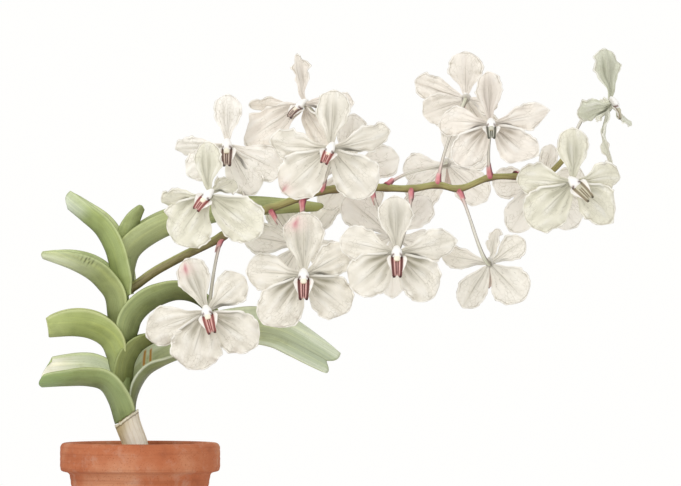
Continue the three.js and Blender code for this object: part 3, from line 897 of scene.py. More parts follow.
@dataclass(frozen=True)
class Axes:
    """A bloom's own axes: out of its face, up its face and across its face."""

    out: Array
    top: Array
    right: Array

    @classmethod
    def of(cls, turn: float, tilt: float) -> Axes:
        """The axes of a turned face: out of it is a point on the unit ball, up it is UP without its share of that.

        Args:
            turn: degrees that the face looks to the right.
            tilt: degrees that it looks up.

        Returns:
            The three axes.
        """
        a, b = math.radians(turn), math.radians(tilt)
        out = np.array([math.sin(a) * math.cos(b), -math.cos(a) * math.cos(b), math.sin(b)])
        top = unit(UP - out * (UP @ out))
        return cls(out, top, np.cross(top, out))

    def around(self, angle: float) -> tuple[Array, Array]:
        """The way along the face at an angle clockwise from its top, and the way across that."""
        a = math.radians(angle)
        return self.top * math.cos(a) + self.right * math.sin(a), self.right * math.cos(a) - self.top * math.sin(a)

    def leaning(self, away: Array, ahead: Array) -> Array:
        """The normals of a strap along the face that leans out of it by these angles."""
        return self.out * np.cos(ahead)[..., None] - away * np.sin(ahead)[..., None]


def curled(length: float, tilt: float, curl: float, u: Array) -> tuple[Array, Array, Array]:
    """A line that leaves the face at a tilt and curls evenly, an arc of a circle.

    Args:
        length: the line's length.
        tilt: how far it leans out of the face at its start, in degrees.
        curl: how far it turns over its length, in degrees.
        u: shares along it.

    Returns:
        How far it is along the face, how far it is in front of it, and its lean there.
    """
    start, bend = math.radians(tilt), math.radians(curl) or 1e-4
    ahead = start + bend * u
    along = length * (np.sin(ahead) - math.sin(start)) / bend
    return along, length * (math.cos(start) - np.cos(ahead)) / bend, ahead


@dataclass(frozen=True)
class Trait:
    """What sets one tepal of a bloom apart: how far its tip bends to the side and is drawn out, in millimetres, how
    much greyer it is, from 0 to 1, and where it has a pink patch, as shares along and across."""

    order: int
    hook: float = 0.0
    drawn: float = 0.0
    grey: float = 0.0
    pink: Optional[tuple[float, float]] = None


@dataclass(frozen=True)
class Wave:
    """A wave of a tepal's edge: its height as a share of the half width, how fast it turns, how much its right side
    is set off from its left, over which shares along it grows, and by which power of the share across."""

    height: float
    rate: float
    apart: float
    grows: tuple[float, float] = (0.25, 0.55)
    power: int = 0

    def at(self, u: Array, v: Array, turns: Array) -> Array:
        """Its height over the grid: a sine of the turns that grows along and across."""
        swing = np.sin(self.rate * turns + self.apart * np.where(v > 0, 2.1, 0.0))
        return self.height * np.abs(v) ** self.power * swing * smooth(u, *self.grows)


@dataclass(frozen=True)
class Tepal:
    """A petal or sepal: degrees clockwise from the bloom's top, length, width, and degrees that it leans forward at
    its root, curls over its length and is turned on its own axis; then its place in the order of back sepal, two
    petals and two lower sepals, its trait, and the seed and phase that set its waves off from the next one's."""

    angle: float
    length: float
    width: float
    tilt: float
    curl: float
    twist: float
    order: int
    trait: Trait
    seed: float
    phase: float
    thickness: float = 0.8
    root: float = 2.8
    layer: float = 0.7
    claw: float = 0.12
    fullness: float = 0.75
    scallops: tuple[Wave, ...] = (Wave(0.035, 2.4, 1), Wave(0.024, 5.3, -1), Wave(0.01, 11, 3))
    ruffles: tuple[Wave, ...] = (Wave(0.15, 3.6, 1, (0.22, 0.6), 3), Wave(0.07, 7.7, 2, (0.3, 0.7), 6))
    rows: int = 52
    cols: int = 29

    @property
    def lower(self) -> bool:
        """Whether it is a lower sepal."""
        return self.order > 2

    @property
    def upper(self) -> float:
        """The sign of the edge that lies uppermost, or 0 on the back sepal."""
        return -math.copysign(1.0, math.sin(math.radians(self.angle))) if self.order else 0.0

    def _half(self, u: Array, v: Array) -> Array:
        """Half the width: a sine of the share along, leaning to the tip, over a narrow claw, times half the whole.

        Args:
            u: shares along.
            v: shares across.

        Returns:
            The half width in millimetres, with its scallops, which differ between the two sides.
        """
        along = u * (0.97 + 0.03 * smooth(u, 0.86, 1.0))
        lean, neck = (1.25, 0.1) if self.lower else (1.5, 0.3)
        swell = np.sin(math.pi * np.minimum(along, 0.9995) ** lean) ** self.fullness * (1 - neck * bell(u, 0.2, 0.14))
        claw = self.claw * (1 - smooth(u, 0.86, 1.0))
        scallop = 1 + sum(wave.at(u, v, 2 * math.pi * (u + self.phase)) for wave in self.scallops)
        return self.width / 2 * (claw + (1 - claw) * swell) * scallop + 0.12

    def _lift(self, u: Array, v: Array, half: Array) -> tuple[Array, Array]:
        """How far it stands off its middle line.

        Its edges fall back as the square of the share across and are ruffled by sines that grow to the edge. It humps
        over the claw, whose edges stand up, is creased along its middle and pleated lengthwise by a cosine across.
        A lower sepal's upper edge is folded up, over a bell-shaped hollow.

        Args:
            u: shares along.
            v: shares across.
            half: half the width.

        Returns:
            The lift in millimetres, and how high its folds stand, from -1 to 1.
        """
        sway = 0.1 * u * np.sin(2 * math.pi * (1.6 * u + self.phase + 0.2 * v))
        ruffle = sum(wave.at(u, v, 2 * math.pi * (u + self.phase)) for wave in self.ruffles)
        lift = half * (v * v * (sway - 0.12 + 0.5 * bell(u, 0.12, 0.12)) + ruffle)
        lift = lift + (2.0 if self.lower else 1.2) * bell(u, 0.24, 0.12)
        lift = lift - 0.6 * bell(v, 0, 0.12) * (1 - 0.8 * u) * smooth(u, 0.0, 0.1)
        if self.lower:
            high = v * self.upper
            lift = lift + 1.3 * (smooth(high, 0.4, 1.0) - bell(high, 0.1, 0.5)) * bell(u, 0.26, 0.15)
        pleats = np.cos(v * math.pi * 4 + self.seed) * bell(u, 0.42, 0.3) * smooth(u, 0.04, 0.2)
        swells = 0.9 * ripple(half * v * 0.24, u * self.length * 0.06, self.seed) * smooth(u, 0.15, 0.5)
        return lift + 0.45 * pleats + swells, np.clip(0.5 * pleats + swells, -1, 1)

    def _tints(self, u: Array, v: Array, half: Array, fold: Array, bloom: Bloom) -> tuple[Array, Array]:
        """The colours of its two faces: painted shade at the claw and in the folds, darker patches, and a painted
        highlight on the folds' crests.

        A lower sepal has its hollow in painted shade, with a painted shadow line and a white painted highlight at its
        upper edge. A side petal has a painted shadow along its lower edge at the claw. The back sepal has painted
        shade along its middle, to both sides of it and in two creases. The back face is the front's colours taken half
        way back to the ground and lightened with white, which is painted light against the shade on it, with a darker
        line down its middle.

        Args:
            u: shares along.
            v: shares across.
            half: half the width.
            fold: how high the folds stand.
            bloom: the bloom that it is part of.

        Returns:
            The front's and the back's colours.
        """
        ground, shade, deep = bloom.cast.colours
        white, grey, high = tone(252, 250, 245), self.trait.grey, v * self.upper
        streaks = 0.6 + 0.4 * np.cos(v * 13 + self.seed + 3 * u)
        # painted shade at the claw, darker patches, painted shade in the folds' hollows and a painted highlight on
        # their crests
        coats = [
            (shade, 0.7 * bell(u, 0.06, 0.2)),
            (shade, 0.3 * smooth(ripple(3 * v, 2.5 * u, self.seed), -0.05, 0.6)),
            (shade, 0.4 * smooth(-fold, 0.0, 0.8)),
            (white, 0.45 * smooth(fold, 0.0, 0.8) * smooth(u, 0.15, 0.4)),
        ]
        if self.lower:
            inset = (1 - high) * half
            hollow = bell(u, 0.27, 0.21) * smooth(high, -1.5, 0.3) * smooth(inset, 1.4, 2.4) * streaks
            # painted shade in the hollow, a painted shadow line by the upper edge and a painted highlight on the
            # folded rim
            coats += [
                (deep * 1.25, np.clip(1.1 * bloom.hollow * hollow, 0, 1)),
                (deep * 0.5, 0.65 * bloom.hollow * bell(inset, 2.3, 0.6) * bell(u, 0.26, 0.22)),
                (white, 0.8 * smooth(inset, 2.0, 1.3) * bell(u, 0.3, 0.22)),
            ]
        elif self.order:
            # painted shade at the claw and a painted shadow along the lower edge, where the petal lies over the sepal
            coats += [
                (deep, 0.55 * bell(u, 0.16, 0.13) * smooth(high, 0.6, -0.6) * streaks),
                (deep * 0.35, 0.85 * smooth((1 + high) * half, 3.2, 1.8) * bell(u, 0.25, 0.2)),
            ]
        else:
            creases = (bell(v, 0.16, 0.07) + bell(v, -0.3, 0.08)) * bell(u, 0.5, 0.3)
            # painted shade down the middle, beside it and in the two creases
            coats += [
                (shade, 0.45 * bell(v, 0.15 * math.sin(self.seed), 0.6) * smooth(u, 1.0, 0.6)),
                (deep, 0.45 * bell(np.abs(v), 0.3, 0.17) * bell(u, 0.42, 0.28) * streaks),
                (deep * (1 - 0.35 * grey), np.clip((0.5 + 0.5 * grey) * creases, 0, 1)),
            ]
        coats.append((shade * 0.9, 0.7 * grey * bell(v, 0, 0.75) * smooth(u, 1.0, 0.75)))
        if self.trait.pink is not None:
            along, across = self.trait.pink
            coats += [
                (tone(238, 204, 200), 0.5 * bell(u, along, 0.14) * bell(v, across, 0.6)),
                (tone(206, 128, 138), 0.9 * bell(u, along, 0.09) * bell(v, across, 0.13)),
            ]
        front = layered(ground, *coats)
        # the back: half way back to the ground and lightened with white, painted light against the shade on it, with a
        # darker midrib
        return front, layered(front, (ground, 0.5), (white, 0.25), (shade, 0.4 * bell(v, 0, 0.12)))

    def add(self, skin: Skin, bloom: Bloom) -> None:
        """Adds the tepal: its half width to both sides of a curled middle line, lifted off it along its normals.

        Args:
            skin: what it is added to.
            bloom: the bloom that it is part of.
        """
        axes = bloom.axes
        away, over = axes.around(self.angle)
        u, v = (1 - (1 - np.linspace(0, 1, self.rows)) ** 1.5)[:, None], edgeward(self.cols)[None, :]
        half = self._half(u, v)
        lift, fold = self._lift(u, v, half)
        reach, rise, ahead = curled(self.length - self.root, self.tilt, self.curl, u)
        normal = axes.leaning(away, ahead)
        turn = (math.radians(self.twist) * (0.6 + 0.4 * u))[..., None]
        side = over * np.cos(turn) + normal * np.sin(turn)
        normal = normal * np.cos(turn) - over * np.sin(turn)
        tip = smooth(u, 0.55, 1.0) ** 2
        layer = self.layer if self.order in (1, 2) else -self.layer
        middle = (
            np.array(bloom.at) + away * (reach + self.root + self.trait.drawn * u**14)[..., None]
            + axes.out * (rise + layer)[..., None] + side * (v * half + self.trait.hook * tip)[..., None]
            + normal * (lift + 0.3 * abs(self.trait.hook) * tip)[..., None])
        edge = rounded(np.abs(v), 0.9, 0.03) * rounded(u, 0.97, 0.03)
        depth = 0.5 * self.thickness * edge * (1 + 0.5 * bell(u, 0, 0.12))
        flow = vectors(v * half, u * self.length, 0.0) + 40 * self.seed
        skin.shell(middle, depth, depth, axes.out, *self._tints(u, v, half, fold, bloom), vectors(u, v, half), flow)


@dataclass(frozen=True)
class Stalk:
    """Where on the flower stem a bloom's stalk springs, and the way it sets out."""

    root: Triple
    way: Triple


@dataclass(frozen=True)
class Bloom:
    """One flower: five tepals round a column, with a lip under it and a stalk behind.

    Its face is turned to the right and up by so many degrees. A tepal is given by its angle, length, width, tilt, curl
    and twist, and the lip by degrees clockwise from the top, degrees that it juts further out, and its length. Hollow
    is how strongly the lower sepals' hollows are shaded. The column and its cap run through places that are given by
    how far they are out of the face and along the lip. The stalk has its radii at its foot, its waist and its head.
    The half width of the lip is that of one 20 mm long, and its outline gives shares along and of that width. It juts
    out of the face by so many degrees and droops by so many over its length.
    """

    name: str
    at: Triple
    face: tuple[float, float]
    lip: Triple
    tepals: tuple[tuple[float, ...], ...]
    stalk: Stalk
    cast: BloomTone = BloomTone.CREAM
    lip_cast: LipTone = LipTone.ROSE
    traits: tuple[Trait, ...] = ()
    hollow: float = 1.0
    column: tuple[tuple[float, float], ...] = ((-3.0, -4.6), (1.2, -2.4), (4.6, 1.4), (6.2, 4.4))
    cap: tuple[tuple[float, float], ...] = ((5.4, 3.0), (7.0, 5.0), (7.2, 7.4))
    column_radius: float = 4.3
    cap_radius: float = 2.4
    stalk_radii: Triple = (1.5, 1.2, 1.9)
    ribs: int = 6
    lip_half: float = 5.0
    outline: tuple[tuple[float, ...], ...] = (
        (0, 0.12, 0.3, 0.55, 0.78, 0.92, 1), (0.82, 0.98, 1, 0.95, 0.86, 0.78, 0.66))
    jut: float = 58.0
    droop: float = -75.0
    flange: float = 3.3

    @property
    def axes(self) -> Axes:
        """The bloom's own axes."""
        return Axes.of(*self.face)

    @property
    def size(self) -> float:
        """How wide the column and lip are, next to those of a lip 20 mm long."""
        return (self.lip[2] / 20) ** 0.5

    def _through(self, places: Sequence[tuple[float, float]]) -> Path:
        """The line through places that are so far out of the face and along the lip."""
        away = self.axes.around(self.lip[0])[0]
        return Path.spline([np.array(self.at) + self.axes.out * out + away * along for out, along in places])

    def _column(self, skin: Skin) -> None:
        """Adds the column: a tube that comes down from the back sepal's claw and bends over the lip, wider downwards,
        with painted shade on the sides that turn from the face, brown notches to both sides of its end, and a cream
        cap there.

        Both are rounded by the square root of 1 less a power of the share from their middle to an end: the fourth
        power for the column, and the second, which is a circle's, for the cap.

        Args:
            skin: what it is added to.
        """
        path, over = self._through(self.column), self.axes.around(self.lip[0])[1]
        t, turn = eased(30), spokes(24)
        side, other = path.frames(t[:, 0])
        facing = np.cos(turn) * (side @ self.axes.out)[:, None] + np.sin(turn) * (other @ self.axes.out)[:, None]
        aside = np.abs(np.cos(turn) * (side @ over)[:, None] + np.sin(turn) * (other @ over)[:, None])
        radius = self.column_radius * self.size * np.clip(1 - (2 * t - 1) ** 4, 0, 1) ** 0.5
        radius = radius * (0.66 + 0.34 * smooth(t, 0.0, 0.6)) * (0.84 + 0.2 * aside * smooth(t, 0.3, 0.7))
        # white, with painted shade where it turns away from the face, and brown notches at its end
        tint = layered(
            tone(254, 253, 251),
            (tone(186, 180, 166), 0.6 * smooth(facing, 0.45, -0.1)),
            (tone(102, 56, 48), 0.95 * bell(t, 0.83, 0.06) * smooth(aside, 0.45, 0.8)))
        skin.tube(path.rings(t[:, 0], radius - 0.5 * bell(t, 0.8, 0.06) * aside, turn), tint,
                  vectors(turn * 4, t * 12, 0.0))
        t = eased(16)
        dome = self.cap_radius * self.size * np.clip(1 - (2 * t - 1) ** 2, 0, 1) ** 0.5 * (1 + 0.08 * np.cos(2 * turn))
        tint = blend(self.lip_cast.colours[3], tone(176, 150, 112), smooth(t, 0.72, 0.95))
        skin.tube(self._through(self.cap).rings(t[:, 0], dome, turn), tint)

    def _pedicel(self, skin: Skin) -> None:
        """Adds the stalk: a tube along a cubic Bezier line, with faint twisting ribs and painted shade along both
        sides.

        Args:
            skin: what it is added to.
        """
        axes = self.axes
        root, way, head = np.array(self.stalk.root), unit(np.array(self.stalk.way)), np.array(self.at)
        reach = 0.42 * float(np.linalg.norm(head - root))
        path = Path.bezier(root, root + way * reach, head - axes.out * reach - axes.top * 0.2 * reach, head)
        t, turn = np.linspace(0.02, 0.985, 44)[:, None], spokes(18)
        size = np.interp(t, (0, 0.4, 1), self.stalk_radii)
        ribs = np.cos(self.ribs * (turn + 2.4 * t))
        side, other = path.frames(t[:, 0])
        right = np.cos(turn) * side[:, :1] + np.sin(turn) * other[:, :1]
        # pale, darker between its ribs, pink at the foot, greener at the head, and painted shade along both sides,
        # heavier on the right
        tint = layered(
            tone(244, 241, 232),
            (tone(200, 196, 184), 0.5 - 0.5 * ribs),
            (tone(224, 168, 172), bell(t, 0.0, 0.16)),
            (tone(214, 220, 186), 0.5 * bell(t, 1.0, 0.25)),
            (tone(120, 106, 96), 0.75 * smooth(right, 0.4, 0.85) + 0.5 * smooth(-right, 0.5, 0.95)))
        skin.tube(path.rings(t[:, 0], size * (1 + 0.07 * ribs), turn), tint,
                  vectors(turn * 1.5, t * path.length, 0.0))

    def make_flower(self, material: Material) -> Thing:
        """Builds the tepals, column and stalk as one piece.

        Args:
            material: the petals' finish.

        Returns:
            The piece.
        """
        skin, number = Skin(), float(self.name)
        for order, sizes in enumerate(self.tepals):
            trait = next((trait for trait in self.traits if trait.order == order), Trait(order))
            Tepal(*sizes, order, trait, number * 1.7 + order * 2.9, (number * 0.37 + order * 0.61) % 1).add(skin, self)
        self._column(skin)
        self._pedicel(skin)
        return skin.piece(f"flower_{self.name}", material)

    def make_lip(self, material: Material) -> Thing:
        """Builds the lip: a strap that juts out and hangs down, with three pale ridges, each a bell curve of the share
        across, dark grooves between them, a notched end with two knobs, and a pale flange to each side.

        Args:
            material: the lip's finish.

        Returns:
            The piece.
        """
        skin, axes = Skin(), self.axes
        away, over = axes.around(self.lip[0])
        ridge, groove, tip = self.lip_cast.colours[:3]
        u, v = np.linspace(0, 1, 30)[:, None], edgeward(29)[None, :]
        side, share = np.abs(v), np.interp(u, *self.outline)
        walk = u * (1 - 0.1 * u**5 * bell(v, 0, 0.38))
        reach, rise, ahead = curled(self.lip[2], self.jut + self.lip[1], self.droop, walk)
        middle = (
            np.array(self.at) + axes.out * (rise + 2.4)[..., None] + away * (reach + 2.4)[..., None]
            + over * (v * share * self.lip_half * self.size)[..., None])
        ridges = np.maximum(bell(side, 0.42, 0.13), 0.8 * bell(v, 0, 0.08))
        knobs = bell(side, 0.62, 0.24) * bell(u, 0.97, 0.06)
        above = 0.2 + share * ridges * 1.15 * smooth(u, -0.1, 0.15) + 0.6 * knobs
        below = 1.3 * np.clip(1 - side**3, 0.06, 1) * share
        tint = layered(
            groove,
            (ridge, smooth(ridges, 0.32, 0.66) * (1 - 0.3 * smooth(u, 0.6, 1.0))),
            (ridge, 0.8 * bell(v, 0, 0.3) * smooth(u, 0.86, 0.96)),
            (tone(240, 226, 216), 0.8 * smooth(side, 0.92, 0.98) * smooth(u, 0.95, 0.75)),
            (tip, np.clip(np.maximum(bell(u, 0.0, 0.12) * smooth(side, 0.1, 0.4), 1.3 * knobs), 0, 1)))
        flow = vectors(v * self.lip_half, u * self.lip[2], 0.0) + float(self.name) * 11
        skin.shell(middle, above, below, axes.leaning(away, ahead).mean(axis=(0, 1)), tint,
                   blend(tint, tone(240, 230, 220), 0.7), vectors(u, v, 1.0), flow)
        for hand in (-1.0, 1.0):
            self._flange(skin, hand)
        return skin.piece(f"lip_blade_{self.name}", material)

    def _flange(self, skin: Skin, hand: float) -> None:
        """Adds the pale flange at one side of the lip: a strip whose outer edge swells as a half sine.

        Args:
            skin: what it is added to.
            hand: which side, as a sign.
        """
        axes = self.axes
        away, over = axes.around(self.lip[0])
        u, v = np.linspace(0, 1, 22)[:, None], np.linspace(0, 1, 7)[None, :]
        reach, rise, ahead = curled(0.9 * self.lip[2], self.jut + 4 + self.lip[1], self.droop, 0.9 * u)
        inner = self.lip_half * self.size * np.interp(u, [0, 0.3, 1], [0.72, 0.94, 0.72])
        width = 0.25 + self.flange * np.sin(math.pi * np.clip(u, 0, 1) ** 0.62) ** 0.8
        frill = 0.3 * np.sin(u * 17 + hand) * v
        middle = (
            np.array(self.at) + axes.out * (rise + 2.2)[..., None] + away * (reach + 2.2)[..., None]
            + over * (hand * (inner + width * v))[..., None]
            + axes.leaning(away, ahead) * (1.1 * v * v + frill - 0.7)[..., None])
        thin = 0.25 * np.sqrt(np.clip(1 - v**6, 0.05, 1))
        tint = layered(
            tone(253, 251, 246),
            (tone(204, 196, 180), 0.6 * smooth(v, 0.88, 1.0)),
            (self.lip_cast.colours[0], 0.5 * bell(v, 0, 0.3)))
        skin.shell(middle, thin, thin, axes.out, tint, tint)

    def make(self, petal: Material, lip: Material) -> None:
        """Builds the bloom's two pieces, in place of its two nodes."""
        settle(self.make_flower(petal), "petal", f"bloom_{self.name}")
        settle(self.make_lip(lip), "lip", f"lip_{self.name}")


BLOOMS = (
    Bloom("01", (54, -22, 221), (-4, 2), (164, 2, 19),
          ((-22, 46, 27, 6, -14, 10), (46, 42, 28, -4, -20, -8), (-109, 54, 31, 4, -24, 12),
           (124, 49, 35, 4, -22, 0), (-162, 49, 42, 8, -26, 0)),
          Stalk((66, 0, 281), (-3, -3, -8)), lip_cast=LipTone.CORAL, hollow=0.8,
          traits=(Trait(0, grey=0.2, pink=(0.82, -0.3)), Trait(2, hook=-3))),
    Bloom("02", (56, -36, 314), (-20, -3), (-146, 10, 15),
          ((-3, 43, 25, 4, -14, 6), (52, 32, 20, -58, -10, 20), (-99, 42, 24, 6, -20, 52),
           (128, 53, 38, 2, -16, 0), (-141, 50, 43, 8, -22, 0)),
          Stalk((78, 0, 290), (-4, -6, 4)), cast=BloomTone.SAGE, lip_cast=LipTone.CORAL, hollow=0.6,
          traits=(Trait(0, grey=0.2),)),
    Bloom("03", (70, -3, 354), (-6, 0), (178, 0, 17),
          ((0, 41, 23, 4, -10, 0), (117, 50, 30, -8, -8, -6), (-94, 44, 20, 0, -22, 46),
           (152, 46, 30, -4, -14, 0), (-126, 42, 27, -2, -16, 0)),
          Stalk((90, 0, 298), (-4, 0, 8)), cast=BloomTone.PALE, lip_cast=LipTone.TAUPE, hollow=0.35),
    Bloom("04", (131, 1, 386), (-46, 6), (200, 20, 14),
          ((-4, 42, 24, 10, 10, 16), (84, 43, 24, -26, -14, 34), (-93, 50, 17, 26, -14, 62),
           (146, 42, 28, -6, -16, 0), (-127, 60, 37, 34, -24, 0)),
          Stalk((131, 0, 311), (1, 0, 8)), cast=BloomTone.BLUSH, lip_cast=LipTone.TAUPE, hollow=0.6),
    Bloom("05", (153, -44, 351), (-10, -6), (-160, 24, 15),
          ((2, 47, 29, 4, -26, 8), (77, 49, 25, 0, -24, -34), (-89, 49, 30, -2, -18, 22),
           (140, 50, 38, 4, -20, 0), (-131, 56, 38, 4, -20, 0)),
          Stalk((145, 0, 317), (2, -6, 6)), lip_cast=LipTone.CORAL, hollow=0.4,
          traits=(Trait(4, pink=(0.95, 0.1)), Trait(2, hook=4, drawn=3), Trait(1, hook=-3))),
    Bloom("06", (131, -26, 250), (0, 0), (180, 0, 20),
          ((0, 51, 33, 2, -14, 4), (62, 42, 28, -2, -18, -10), (-86, 47, 31, 0, -18, 10),
           (128, 47, 36, 4, -22, 0), (-144, 51, 37, 6, -22, 0)),
          Stalk((130, 0, 310), (0, -3, -9)), traits=(Trait(0, pink=(0.8, -0.42)), Trait(4, hook=3))),
    Bloom("07", (205, -44, 268), (2, 0), (180, 0, 20),
          ((-2, 46, 28, 2, -16, 4), (79, 48, 26, -2, -18, -14), (-77, 47, 29, 0, -18, 12),
           (137, 47, 35, 6, -22, 0), (-129, 47, 36, 4, -22, 0)),
          Stalk((217, 0, 319), (0, -4, -9)), traits=(Trait(0, grey=0.5), Trait(1, drawn=3), Trait(3, hook=3))),
    Bloom("08", (280, 6, 259), (164, -14), (180, 0, 18),
          ((-8, 30, 17, -8, 24, 40), (-54, 34, 21, -4, 10, -10), (78, 44, 19, 0, 14, 30),
           (148, 42, 24, 4, 12, 20), (-134, 42, 33, 0, 10, 0)),
          Stalk((255, 0, 319), (4, 1, -9))),
    Bloom("09", (280, -32, 370), (2, 12), (180, 8, 14),
          ((-3, 44, 23, 2, -6, 32), (77, 46, 22, -2, -16, -22), (-84, 42, 24, 2, -18, 16),
           (131, 43, 30, 4, -20, 0), (-139, 43, 28, 6, -18, 10)),
          Stalk((280, 0, 328), (-1, -3, 8)), cast=BloomTone.BLUSH, lip_cast=LipTone.SLATE,
          traits=(Trait(0, grey=0.9), Trait(1, drawn=4, hook=-2), Trait(3, drawn=2, hook=-6), Trait(2, hook=-4))),
    Bloom("10", (261, 16, 391), (170, 10), (180, 0, 18),
          ((-2, 39, 29, -4, 8, 0), (-96, 34, 20, -28, -14, 20), (72, 45, 23, 0, 14, 10),
           (110, 38, 27, 0, 8, 0), (-148, 38, 25, 4, 8, 0)),
          Stalk((238, 0, 322), (1, 1, 8)), cast=BloomTone.BLUSH),
    Bloom("11", (246, 42, 339), (178, -4), (180, 0, 18),
          ((-16, 38, 24, 0, 8, 0), (-74, 36, 24, 0, 8, 0), (98, 36, 25, 0, 8, 0),
           (-132, 44, 29, 0, 8, 0), (138, 44, 29, 0, 8, 0)),
          Stalk((197, 0, 321), (5, 5, 5)), cast=BloomTone.PALE),
    Bloom("12", (346, -20, 324), (10, -4), (138, 14, 20),
          ((-1, 44, 26, 4, -12, 6), (80, 41, 25, -4, -16, -22), (-87, 46, 28, 0, -18, 14),
           (129, 43, 32, 6, -20, 0), (-135, 50, 38, 6, -22, 0)),
          Stalk((316, 0, 329), (6, -4, 3)), cast=BloomTone.SAGE, lip_cast=LipTone.OLIVE, hollow=0.6,
          traits=(Trait(3, drawn=4, hook=4), Trait(1, hook=3))),
    Bloom("13", (322, 24, 325), (182, 4), (180, 0, 18),
          ((-15, 31, 15, 0, 8, 0), (-88, 36, 24, 0, 8, 0), (92, 40, 26, 0, 8, 0),
           (-142, 47, 30, 0, 6, 0), (148, 48, 27, 0, 6, 0)),
          Stalk((300, 0, 330), (5, 6, 1)), cast=BloomTone.PALE),
    Bloom("14", (377, 12, 388), (72, -8), (180, 14, 13),
          ((0, 44, 26, -14, 4, 44), (112, 34, 20, -34, -8, 0), (-116, 36, 21, -34, -8, 10),
           (146, 27, 17, 44, 8, 24), (-168, 49, 18, -16, 62, 30)),
          Stalk((342, 0, 346), (3, 2, 8)), cast=BloomTone.MOSS, lip_cast=LipTone.OLIVE,
          traits=(Trait(4, drawn=4, hook=-5, grey=0.3), Trait(0, hook=-3, grey=0.4), Trait(2, hook=3, grey=0.5))),
    Bloom("15", (202, 13, 281), (176, 0), (0, 0, 18),
          ((-44, 43, 27, 0, 10, 0), (50, 51, 32, -2, 8, 0), (-106, 42, 26, 0, 8, 0),
           (112, 42, 26, 0, 8, 0), (180, 50, 24, 0, 6, 0)),
          Stalk((185, 0, 320), (2, 1, -8)), cast=BloomTone.PALE),
    Bloom("16", (167, 19, 334), (180, 6), (180, 0, 18),
          ((-5, 46, 25, 0, 8, 0), (-76, 42, 27, 0, 8, 0), (78, 40, 25, 0, 8, 0),
           (-140, 38, 25, 0, 8, 0), (146, 38, 24, 0, 8, 0)),
          Stalk((157, 0, 319), (2, 7, 3)), cast=BloomTone.PALE),
    Bloom("17", (128, 27, 274), (182, 0), (180, 0, 18),
          ((32, 42, 26, 0, 10, 0), (-38, 48, 22, 0, 8, 24), (80, 47, 26, 0, 8, 0),
           (-112, 38, 26, 0, 8, 0), (148, 40, 26, 0, 8, 0)),
          Stalk((104, 0, 303), (4, 2, -7)), cast=BloomTone.PALE),
)


